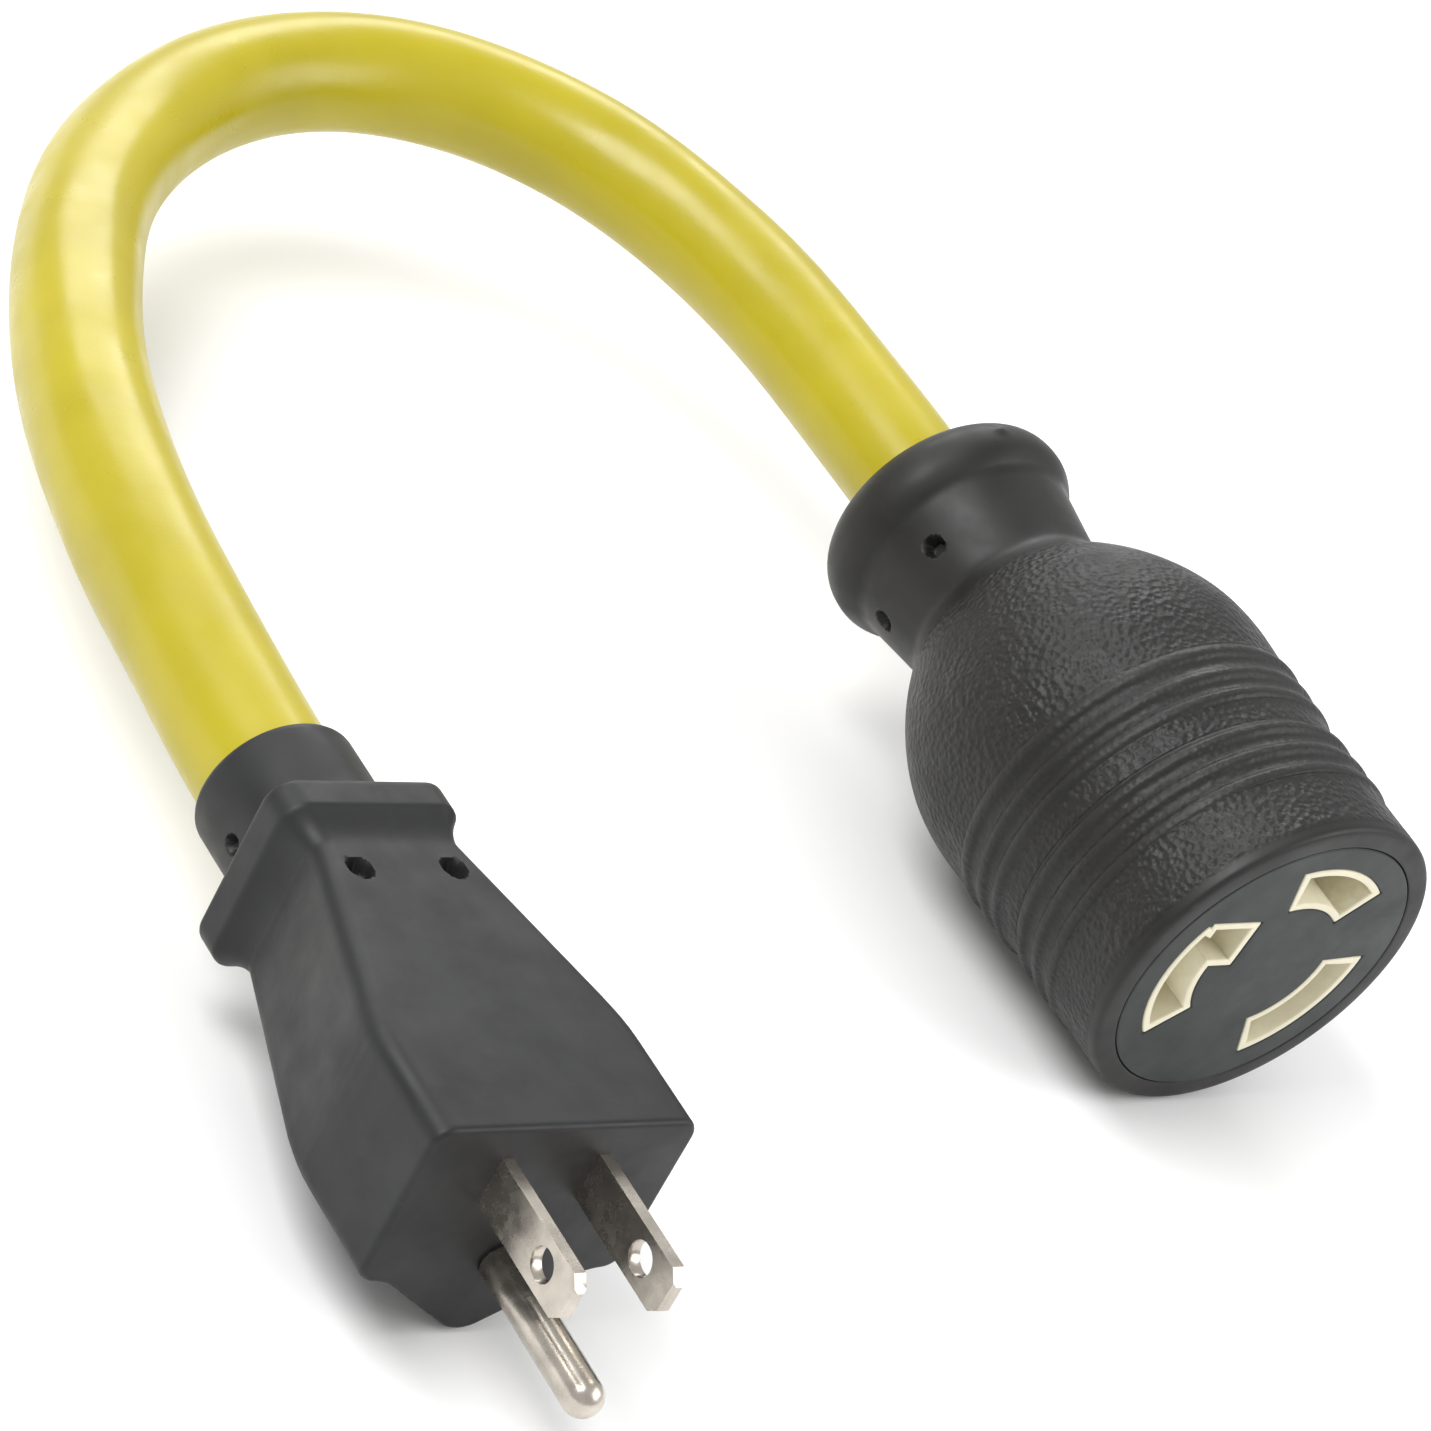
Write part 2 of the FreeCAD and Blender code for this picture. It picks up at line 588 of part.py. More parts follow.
def build_plug_inner_mold():
    """Moulding over the plug's crimp barrels."""
    body = inner_block(
        "plug_inner_body", "plug_skin+insert_thick+seat_gap", "plug_mold_end", "inner")
    tools = []
    for core, (x, y) in PLUG_AT.items():
        crimp_way = prim("Cylinder", "plug_crimp_way_" + core, Radius="earth_dia/2+seat_gap",
                         Height="barrel_len+blade_root-plug_skin-insert_thick+3.0")
        place(crimp_way, (x, y, "-blade_root-barrel_len-1.2"))
        tools.append(crimp_way)
        if core != "ground":
            strip_way = prim("Box", "plug_strip_way_" + core, Length="blade_thick+seat_gap*2",
                             Width="blade_width+seat_gap*2",
                             Height="blade_root-plug_skin-insert_thick+2.0")
            place(strip_way, (x + "-blade_thick/2-seat_gap", "-blade_width/2-seat_gap",
                              "-blade_root-1.5"))
            tools.append(strip_way)
    ways = join("plug_inner_ways", tools)
    finish("plug_inner_mold", subtract("plug_inner_mold_cut", body, ways), "plug")


# ------------------------------------------------------------- cord centre line
LINK_COUNT = int(dim["link_count"])
FACE = CONN.Base
BACK = CONN.Rotation.multVec(Vector(0, 0, -1))
LEAD = 6.0              # the centre line starts this far in front of the jacket
FLEX_SAMPLES = 60       # steps along the bending run


def on_plug_axis(depth):
    """Point on the cord's axis in the plug."""
    return PLUG.Base + Vector(0, depth, -dim["cord_axis_drop"])


def point_along(edge, length):
    return edge.valueAt(edge.getParameterByLength(length))


def cord_axis():
    """Smooth centre line: straight in both ends, a B-spline in between."""
    poles = [on_plug_axis(dim["bend_start"]), on_plug_axis(dim["bend_second_pole"])]
    for number in range(1, len(CORD_POLES) + 1):
        poles.append(PLUG.Base + Vector(*[dim["cord_%s_%02d" % (c, number)] for c in "xyz"]))
    knot_count = len(poles) - 2
    bend = Part.BSplineCurve()
    bend.buildFromPolesMultsKnots(
        poles, [4] + [1] * (knot_count - 2) + [4],
        [k / (knot_count - 1.0) for k in range(knot_count)], False, 3)
    bend = bend.toShape()
    start = dim["jacket_start"]
    points = [on_plug_axis(depth) for depth in (start - LEAD, start, 46.0, 52.0)]
    points += [point_along(bend, bend.Length * k / FLEX_SAMPLES)
               for k in range(FLEX_SAMPLES + 1)]
    bend_end = (poles[-1] - FACE).dot(BACK)
    jacket_end = dim["conn_jacket_end"]
    points += [FACE + BACK * depth for depth in (
        bend_end - 5.0, bend_end - 10.0, bend_end - 15.0, jacket_end, jacket_end - 5)]
    curve = Part.BSplineCurve()
    curve.interpolate(points)
    return curve.toShape()


def find_joints(axis):
    """Points where one length of jacket turns on the next."""
    first = dim["bend_start"] - (dim["jacket_start"] - LEAD) + dim["first_pivot"]
    step = dim["pivot_step"]
    joints = []
    for k in range(LINK_COUNT + 1):
        along = first + step * k
        here = point_along(axis, along)
        middle = (point_along(axis, along - step / 2) + point_along(axis, along + step / 2)) * 0.5
        # a little outside the bend, so that straight lengths stay within half
        # their sag of the smooth centre line
        joints.append(here + (here - middle) * 0.5)
    # the first and last joints lie exactly on the axes of the two moulded ends
    plug_axis = on_plug_axis(0)
    joints[0] = Vector(plug_axis.x, joints[0].y, plug_axis.z)
    joints[-1] = FACE + BACK * (joints[-1] - FACE).dot(BACK)
    return joints


AXIS = cord_axis()
JOINTS = find_joints(AXIS)


# ------------------------------------------------------------- jacket
def rod(start, end, radius):
    along = end - start
    return Part.makeCylinder(radius, along.Length, start, along)


def largest(shape):
    return max(shape.Solids, key=lambda solid: solid.Volume)


JOINT_BORE_REACH = 9.0     # bores run this far past a joint
END_BORE_REACH = 2.0       # and this far past the jacket's two ends
JOINT_BORE_GAP = 0.15      # added to the bore's radius at a joint
SHARP_TURN = 10.0          # degrees; beyond this the bore also follows the next length


def build_jacket(name, index, knots):
    """One length of jacket: a cup at its plug end that turns on the boss of the
    length before it, and a boss at its other end for the next length."""
    start, end = knots[index], knots[index + 1]
    first, last = index == 0, index == len(knots) - 2
    bore_radius = dim["jacket_bore_dia"] / 2
    along = end - start
    along.normalize()
    shape = rod(start + along * (0.0 if first else dim["lip_gap"]), end, dim["jacket_dia"] / 2)
    hollows = [rod(start - along * (END_BORE_REACH if first else JOINT_BORE_REACH),
                   end + along * (END_BORE_REACH if last else JOINT_BORE_REACH), bore_radius)]
    if not last:
        shape = shape.fuse(Part.makeSphere(dim["ball_dia"] / 2, end, along))
        onward = knots[index + 2] - end
        onward.normalize()
        hollows.append(Part.makeSphere(bore_radius + JOINT_BORE_GAP, end, along))
        if math.degrees(along.getAngle(onward)) > SHARP_TURN:
            hollows.append(rod(end, end + onward * JOINT_BORE_REACH, bore_radius))
    if not first:
        hollows.append(Part.makeSphere(dim["socket_dia"] / 2, start, along))
    for tool in hollows:
        shape = shape.cut(tool)
    finish_shape(name, largest(shape))


def build_jackets():
    knots = [point_along(AXIS, LEAD)] + JOINTS + [FACE + BACK * dim["conn_jacket_end"]]
    names = ["plug_end"] + ["link_%02d" % (k + 1) for k in range(LINK_COUNT)] + ["connector_end"]
    for index, name in enumerate(names):
        build_jacket("cord_jacket_" + name, index, knots)


# ------------------------------------------------------------- three cores laid up in a helix
# angle of each core where it leaves the plug, seen from the plug's front
START_ANGLE = {"line": 150.0, "neutral": 30.0, "ground": 270.0}
BEND_GAP = 2.8         # a core bends this far behind its crimp barrel
SKIN_GAP = 0.2         # insulation starts this far behind the barrel
COPPER_IN_PLUG = 6.5   # copper reaches this far into the plug's barrel
COPPER_IN_CONN = 8.0   # and this far into the connector's
BAR_INSET = 0.35       # bars stop short of a turn by this much
TURN_GROW = 0.12       # the ball at a turn is this much larger in radius


def carried_frames():
    """Point, up and side directions at each station, carried along without twist."""
    stations = [on_plug_axis(dim["jacket_start"] - 1.0)] + JOINTS
    stations.append(FACE + BACK * (dim["conn_jacket_end"] - 1.5))
    frames = []
    up = Z_DIRECTION
    for k, station in enumerate(stations):
        along = stations[min(k + 1, len(stations) - 1)] - stations[max(k - 1, 0)]
        along.normalize()
        up = up - along * up.dot(along)
        up.normalize()
        frames.append((station, up, along.cross(up)))
    return frames


FRAMES = carried_frames()


def phase_in(frame, end, degrees):
    """Angle in a carried frame of a direction given in the frame of an end."""
    angle = math.radians(degrees)
    direction = end.Rotation.multVec(Vector(math.cos(angle), math.sin(angle), 0))
    _, up, side = frame
    return math.atan2(direction.dot(side), direction.dot(up))


def half_turn_wrap(angle):
    return ((angle + math.pi) % (2 * math.pi)) - math.pi


def bundle_twist():
    """One common twist for the bundle: the mean offset between the ends, within half a turn."""
    offsets = [(phase_in(FRAMES[-1], CONN, SLOT_MID[core]) - PHASE[core]) % (2 * math.pi)
               for core in PHASE]
    spread = sum(half_turn_wrap(offset - offsets[0]) for offset in offsets)
    return half_turn_wrap(offsets[0] + spread / 3.0)


PHASE = {core: phase_in(FRAMES[0], PLUG, angle) for core, angle in START_ANGLE.items()}
TWIST = bundle_twist()


def lay(phase, radius):
    """Places of one strand at the stations, turning slowly with the bundle."""
    points = []
    for k, (station, up, side) in enumerate(FRAMES):
        angle = phase + TWIST * k / (len(FRAMES) - 1.0)
        points.append(station + up * (radius * math.cos(angle)) + side * (radius * math.sin(angle)))
    return points


def core_path(core, plug_inset, conn_inset):
    """Path of a core from its blade to its contact; insets reach into the barrels."""
    x, y = [num(value) for value in PLUG_AT[core]]
    barrel_rear = num("blade_root+barrel_len+barrel_gap")
    crimp_end = dim["crimp_end"]
    angle = math.radians(SLOT_MID[core])
    radius = dim["contact_mid_r"]
    slot_x, slot_y = radius * math.cos(angle), radius * math.sin(angle)
    return ([PLUG.multVec(Vector(x, y, -depth))
             for depth in (barrel_rear - plug_inset, barrel_rear + BEND_GAP)]
            + lay(PHASE[core], dim["core_lay_r"])
            + [CONN.multVec(Vector(slot_x, slot_y, -depth))
               for depth in (crimp_end + BEND_GAP, crimp_end - conn_inset)])


def chain(points, radius):
    """Bars through the points, their ends buried in a slightly larger ball at each turn."""
    bars = []
    last = len(points) - 2
    for k, (start, end) in enumerate(zip(points[:-1], points[1:])):
        along = end - start
        along.normalize()
        bars.append(rod(start + along * (BAR_INSET if k else 0.0),
                        end - along * (BAR_INSET if k < last else 0.0), radius))
    balls = [Part.makeSphere(radius + TURN_GROW, turn, turn - before)
             for before, turn in zip(points[:-2], points[1:-1])]
    return bars[0].multiFuse(bars[1:] + balls)


def strand(points, radius, bore=0.0):
    shape = chain(points, radius)
    if bore:
        # the bore runs out past both ends
        start = points[0] + (points[0] - points[1]) * 0.1
        end = points[-1] + (points[-1] - points[-2]) * 0.1
        shape = shape.cut(chain([start] + points[1:-1] + [end], bore))
    return largest(shape)


def build_core(core):
    skin = core_path(core, -SKIN_GAP, -SKIN_GAP)
    finish_shape(core + "_insulation",
                 strand(skin, dim["core_dia"] / 2, dim["core_bore_dia"] / 2))
    copper = core_path(core, COPPER_IN_PLUG, COPPER_IN_CONN)
    finish_shape(core + "_copper_strands", strand(copper, dim["copper_dia"] / 2))


def build_fillers():
    """One filler in each valley between two neighbouring cores."""
    order = sorted(PHASE.values())
    order.append(order[0] + 2 * math.pi)
    fillers = [strand(lay((here + following) / 2, dim["filler_lay_r"]), dim["filler_dia"] / 2)
               for here, following in zip(order[:-1], order[1:])]
    finish_shape("cord_fillers", Part.makeCompound(fillers))


# ------------------------------------------------------------- connector slots
def sector(name, outer_radius, inner_radius, start, span, front, length):
    """Part of a ring between two radii, running back from depth front."""
    solids = []
    for tag, radius in (("_outer", outer_radius), ("_inner", inner_radius)):
        solid = prim("Cylinder", name + tag, Radius=radius, Height=length, Angle=span)
        place(solid, (0, 0, rear_z(front, length)), Rotation(Z_DIRECTION, num(start)))
        solids.append(solid)
    return subtract(name, *solids)


def hook(name, grow, front, length):
    """Box that reaches inward from the upper part of the earth slot."""
    box = prim("Box", name, Length=plus("hook_out_x-hook_in_x", 2 * grow),
               Width=plus("hook_high_y-hook_low_y", 2 * grow), Height=length)
    place(box, (plus("-hook_out_x", -grow), plus("hook_low_y", -grow), rear_z(front, length)))
    return box


def wall_angle(wall):
    """Degrees that a wall takes up at the contacts' middle radius."""
    return math.degrees(wall / dim["contact_mid_r"])


def slots(name, grow, front, length):
    """All three slot shapes, grown outwards by grow."""
    turn = wall_angle(grow)
    made = [sector("%s_%s" % (name, prefix), plus("slot_out_r", grow), plus("slot_in_r", -grow),
                   plus(prefix + "_from", -turn), plus(prefix + "_span", 2 * turn),
                   front, length)
            for prefix in SLOT_CELLS.values()]
    made.append(hook(name + "_hook", grow, front, length))
    return join(name, made)


def put_at_slot(solid, core, y, z, inset=0.0):
    """Stand a solid at the middle of a slot, inset towards the connector's axis."""
    turn = Rotation(Z_DIRECTION, SLOT_MID[core])
    place(solid, turn.multVec(Vector(dim["contact_mid_r"] - inset, y, num(z))), turn)


def slot_box(name, core, thick, width, height, z):
    """Box centred on a slot, thick across the radius; z is its rear face."""
    box = prim("Box", name, Length=thick, Width=width, Height=height)
    put_at_slot(box, core, -width / 2, z, thick / 2)
    return box


def slot_rod(name, core, radius, height, z):
    """Cylinder centred on a slot; z is its rear face."""
    cylinder = prim("Cylinder", name, Radius=radius, Height=height)
    put_at_slot(cylinder, core, 0, z)
    return cylinder


# ------------------------------------------------------------- connector mouldings
# Half section of the connector's shell: radius, z. Down the outside from the
# face to the rear end, then back up the inside.
SHELL_PROFILE = [
    ("face_insert_dia/2+seat_gap", 0), ("conn_face_r", 0), ("conn_rim_r", -0.9),
    # three ribs near the face
    ("conn_rim_r-0.1", -9.6), ("conn_rim_r-0.1+rib_high", -10.2),
    ("conn_rim_r-0.1+rib_high", -11.2), ("conn_rim_r-0.2", -11.8),
    ("conn_rim_r-0.2", -13.2), ("conn_rim_r-0.1+rib_high", -13.8),
    ("conn_rim_r-0.1+rib_high", -14.8), ("conn_rim_r-0.3", -15.4),
    ("conn_rim_r-0.3", -16.9), ("conn_rim_r-0.1+rib_high", -17.5),
    ("conn_rim_r-0.1+rib_high", -18.5), ("conn_rim_r-0.4", -19.2),
    # three ribs further back
    ("conn_rim_r-0.1", -22.8), ("conn_rim_r+0.1+rib_high", -23.4),
    ("conn_rim_r+0.1+rib_high", -24.4), ("conn_rim_r", -25.0),
    ("conn_rim_r", -26.2), ("conn_rim_r+0.1+rib_high", -26.8),
    ("conn_rim_r+0.1+rib_high", -27.8), ("conn_rim_r+0.1", -28.4),
    ("conn_rim_r+0.1", -29.8), ("conn_rim_r+0.2+rib_high", -30.4),
    ("conn_rim_r+0.2+rib_high", -31.4), ("conn_rim_r+0.2", -32.1),
    # bulge and dome
    ("conn_bulge_r-0.1", -36.0), ("conn_bulge_r", -38.5), ("conn_bulge_r-0.2", -41.5),
    ("conn_bulge_r-0.7", -44.5), ("conn_bulge_r-1.5", -47.5), ("conn_bulge_r-2.7", -50.5),
    ("conn_bulge_r-4.4", -53.7), ("conn_bulge_r-6.3", -56.6), ("conn_bulge_r-8.3", -59.1),
    # neck and rear lip
    ("conn_neck_r+0.8", -61.0), ("conn_neck_r", "-conn_neck_at"), ("conn_neck_r+0.3", -65.5),
    ("conn_neck_end_r-0.4", -69.5), ("conn_neck_end_r", -72.0),
    ("conn_neck_end_r+0.3", -73.9), ("conn_lip_r-0.5", -75.3), ("conn_lip_r", -77.0),
    ("conn_lip_r-0.1", -79.0), ("conn_lip_r-0.9", -81.3), ("conn_lip_r-2.6", -83.2),
    ("conn_lip_r-5.0", "-conn_len"),
    # way for the cord, hollow for the inner parts, seat of the face insert
    ("jacket_dia/2+0.9", "-conn_len"), ("jacket_dia/2+seat_gap", "-conn_len+1.2"),
    ("jacket_dia/2+seat_gap", "-conn_inner_end-seat_gap"),
    ("conn_inner_end_r+seat_gap", "-conn_inner_end-seat_gap"),
    ("conn_inner_r+seat_gap", "-conn_inner_step"),
    ("conn_inner_r+seat_gap", "-carrier_end-cover_thick"),
    ("carrier_dia/2+seat_gap", "-carrier_end-cover_thick"),
    ("carrier_dia/2+seat_gap", "-face_insert_len"),
    ("face_insert_dia/2+seat_gap", "-face_insert_len"),
]
NECK_HOLE_ANGLES = (155.0, -150.0)


def build_connector_overmold():
    body = new_body("connector_shell")
    profile = new_sketch(body, "shell_profile", "XZ_Plane")
    poly(profile, SHELL_PROFILE)
    revolve(body, "shell_turn", profile)
    # blind holes left by the mould pins in the neck
    tools = []
    floor_radius = num("conn_neck_r+0.9-neck_hole_deep")
    for i, degrees in enumerate(NECK_HOLE_ANGLES):
        tool = prim("Cylinder", "neck_hole_%d" % i, Radius="neck_hole_dia/2", Height=6.0)
        angle = math.radians(degrees)
        outward = Vector(math.cos(angle), math.sin(angle), 0)
        place(tool, outward * floor_radius - Z_DIRECTION * dim["neck_hole_at"],
              Rotation(Z_DIRECTION, outward))
        tools.append(tool)
    holes = join("neck_holes", tools)
    finish("connector_overmold", subtract("connector_overmold_cut", body, holes), "conn")


def build_face_insert():
    insert = prim("Cylinder", "face_disc", Radius="face_insert_dia/2",
                  Height="face_insert_len-seat_gap")
    place(insert, (0, 0, "seat_gap-face_insert_len"))
    ways = slots("face_slot_ways", dim["seat_gap"], -1.0, "face_insert_len+2.0")
    finish("connector_face_insert", subtract("face_disc_cut", insert, ways), "conn")


def build_contact_carrier():
    """Disc behind the face insert, with liners that reach forward through its slots."""
    chimneys = slots("liner_chimneys", 0.0, 0.0, "face_insert_len+1.0")
    disc_solid = prim("Cylinder", "carrier_disc", Radius="carrier_dia/2",
                      Height="carrier_end-face_insert_len")
    place(disc_solid, (0, 0, "-carrier_end"))
    full = join("carrier_full", [chimneys, disc_solid])
    pockets = slots("carrier_pockets", -dim["liner_wall"], -1.0, "carrier_end+2.0")
    finish("contact_carrier", subtract("carrier_cut", full, pockets), "conn")


def build_carrier_cover():
    cover = prim("Cylinder", "cover_disc", Radius="carrier_dia/2",
                 Height="cover_thick-seat_gap*2")
    place(cover, (0, 0, "-carrier_end-cover_thick+seat_gap"))
    ways = [slot_box("cover_way_" + core, core, thick=1.8, width=4.4, height=8.0,
                     z="-carrier_end-6.0")
            for core in SLOT_CELLS]
    finish("carrier_cover", subtract("cover_cut", cover, join("cover_ways", ways)), "conn")


LEAF_GAP = 0.12       # between a leaf and its liner, across the radius
LEAF_END_GAP = 0.35   # and at the leaf's two ends, along the arc


def build_contact(core):
    """Two curved leaves joined by a web, with a tail and a crimp barrel behind."""
    name, prefix = core + "_contact", SLOT_CELLS[core]
    trim = wall_angle(dim["liner_wall"] + LEAF_END_GAP)
    start, span = plus(prefix + "_from", trim), plus(prefix + "_span", -2 * trim)
    outer_radius = plus("slot_out_r-liner_wall", -LEAF_GAP)
    inner_radius = plus("slot_in_r+liner_wall", LEAF_GAP)
    leaf_length = "carrier_end-contact_front-0.3"
    parts = [
        sector(name + "_outer_leaf", outer_radius, outer_radius + "-leaf_thick",
               start, span, "contact_front", leaf_length),
        sector(name + "_inner_leaf", inner_radius + "+leaf_thick", inner_radius,
               start, span, "contact_front", leaf_length),
        sector(name + "_web", outer_radius, inner_radius,
               start, span, "carrier_end-1.3", 1.0),
        slot_box(name + "_tail", core, thick=1.2, width=3.6,
                 height="crimp_front+1.4-carrier_end+0.9", z="-crimp_front-1.4"),
        slot_rod(name + "_barrel", core, "barrel_out_dia/2", "crimp_end-crimp_front",
                 "-crimp_end")]
    bore = slot_rod(name + "_barrel_bore", core, "barrel_bore_dia/2",
                    "crimp_end-crimp_front-1.5", "-crimp_end-0.5")
    finish(name, subtract(name + "_cut", join(name + "_solid", parts), bore), "conn")


def build_connector_inner_mold():
    """Moulding over the connector's crimp barrels."""
    body = new_body("connector_inner_body")
    profile = new_sketch(body, "conn_inner_profile", "XZ_Plane")
    poly(profile, [
        (0, "-carrier_end-cover_thick"), ("conn_inner_r", "-carrier_end-cover_thick"),
        ("conn_inner_r", "-conn_mold_end+1.0"), ("conn_inner_r-1.0", "-conn_mold_end"),
        (0, "-conn_mold_end")])
    revolve(body, "conn_inner_turn", profile)
    tools = []
    for core in SLOT_CELLS:
        tools.append(slot_rod("conn_crimp_way_" + core, core, "barrel_out_dia/2+seat_gap*2",
                              "crimp_end-crimp_front+0.3", "-crimp_end-0.1"))
        tools.append(slot_box("conn_tail_way_" + core, core, thick=1.4, width=3.8, height=6.0,
                              z="-crimp_front-2.0"))
    ways = join("connector_inner_ways", tools)
    finish("connector_inner_mold", subtract("connector_inner_cut", body, ways), "conn")


# ------------------------------------------------------------- build and export
def export_pieces():
    doc.recompute()
    bad = [(obj.Name, obj.State) for obj in doc.Objects
           if "Invalid" in obj.State or "Error" in obj.State]
    if bad:
        raise SystemExit("failed objects: %s" % bad)
    for name, piece in sorted(PIECES.items()):
        if piece.Shape.isNull() or not piece.Shape.isValid() or not piece.Shape.Solids:
            raise SystemExit("bad shape: " + name)
    os.makedirs("parts", exist_ok=True)
    for name, piece in sorted(PIECES.items()):
        piece.Shape.exportStep("parts/%s.step" % name)


build_blade("line")
build_blade("neutral")
build_ground_pin()
build_plug_overmold()
build_blade_bridge()
build_jackets()
for core in PLUG_AT:
    build_core(core)
build_fillers()
build_plug_inner_mold()
build_connector_overmold()
build_face_insert()
build_contact_carrier()
build_carrier_cover()
for core in PLUG_AT:
    build_contact(core)
build_connector_inner_mold()
export_pieces()
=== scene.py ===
"""Power cord lying on a floor. The plug is at -X and the connector at +X, and both face -Y.
The yellow cord leaves them towards +Y and loops round between them.

Geometry is in mm and is turned to metres when a mesh is made. Materials and lights are in metres.
"""
import json
import math
import bpy
import numpy as np
from mathutils import Matrix, Vector

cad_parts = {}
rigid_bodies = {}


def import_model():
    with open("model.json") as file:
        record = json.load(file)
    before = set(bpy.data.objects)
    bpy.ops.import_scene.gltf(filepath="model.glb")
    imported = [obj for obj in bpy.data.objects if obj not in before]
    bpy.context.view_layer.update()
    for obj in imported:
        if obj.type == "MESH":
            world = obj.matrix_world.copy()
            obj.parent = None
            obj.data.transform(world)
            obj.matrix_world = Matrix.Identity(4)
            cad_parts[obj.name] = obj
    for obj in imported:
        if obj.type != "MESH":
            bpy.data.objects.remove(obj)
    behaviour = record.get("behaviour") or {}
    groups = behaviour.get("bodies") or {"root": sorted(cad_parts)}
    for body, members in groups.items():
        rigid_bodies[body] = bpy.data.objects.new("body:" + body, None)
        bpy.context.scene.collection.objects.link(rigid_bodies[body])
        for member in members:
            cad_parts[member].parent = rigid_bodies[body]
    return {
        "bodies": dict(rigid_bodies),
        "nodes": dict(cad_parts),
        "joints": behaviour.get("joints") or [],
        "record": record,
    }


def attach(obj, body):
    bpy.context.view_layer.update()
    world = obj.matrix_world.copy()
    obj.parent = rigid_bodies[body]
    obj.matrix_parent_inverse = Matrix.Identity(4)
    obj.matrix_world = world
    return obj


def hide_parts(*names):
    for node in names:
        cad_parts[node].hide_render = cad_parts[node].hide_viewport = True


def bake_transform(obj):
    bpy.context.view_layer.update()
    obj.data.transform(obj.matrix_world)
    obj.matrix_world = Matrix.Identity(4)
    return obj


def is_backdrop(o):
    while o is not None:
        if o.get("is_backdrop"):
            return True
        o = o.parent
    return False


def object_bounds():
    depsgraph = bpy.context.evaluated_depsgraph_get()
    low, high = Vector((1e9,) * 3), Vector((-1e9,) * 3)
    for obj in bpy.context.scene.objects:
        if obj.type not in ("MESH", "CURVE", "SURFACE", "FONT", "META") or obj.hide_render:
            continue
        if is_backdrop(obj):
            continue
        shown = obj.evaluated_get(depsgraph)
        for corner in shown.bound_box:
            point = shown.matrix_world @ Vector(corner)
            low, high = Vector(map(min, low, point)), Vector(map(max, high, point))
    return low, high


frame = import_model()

MM_PER_M = 1000.0
NODES = frame["nodes"]
JOINTS = frame["joints"]
SLOT_OF = {part["node"]: part["material_slot"] for part in frame["record"]["subparts"]}

kept = set(NODES.values()) | set(frame["bodies"].values())
for extra in [o for o in bpy.data.objects if o not in kept]:
    bpy.data.objects.remove(extra)


def as_lists(value):
    """Bounds as plain lists and floats, ready for JSON."""
    if isinstance(value, dict):
        return {key: as_lists(item) for key, item in value.items()}
    if isinstance(value, (list, tuple, Vector)):
        return [as_lists(item) for item in value]
    return value if isinstance(value, str) or value is None else float(value)


BEFORE = as_lists(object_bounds())

# ---------------------------------------------------------------- places of the two ends
PLUG_PLACE = np.array([-66.453, -95.373, 22.462])       # middle of the plug's face
CONNECTOR_PLACE = np.array([59.567, -66.933, 23.892])   # middle of the connector's face


def axes_of(yaw_deg, lean_deg):
    """Columns are an end's own axes: x right, y up, z out of its face."""
    yaw, tip = math.radians(yaw_deg), math.radians(90 + lean_deg)
    turn = np.array([
        [math.cos(yaw), -math.sin(yaw), 0],
        [math.sin(yaw), math.cos(yaw), 0],
        [0, 0, 1]])
    stand = np.array([
        [1, 0, 0],
        [0, math.cos(tip), -math.sin(tip)],
        [0, math.sin(tip), math.cos(tip)]])
    return turn @ stand


PLUG_AXES = axes_of(yaw_deg=0.0, lean_deg=0.0)
CONNECTOR_AXES = axes_of(yaw_deg=1.97, lean_deg=3.70)
CONNECTOR_BACK = -CONNECTOR_AXES[:, 2]


# ---------------------------------------------------------------- materials
def shade(color, factor):
    return tuple(channel * factor for channel in color)


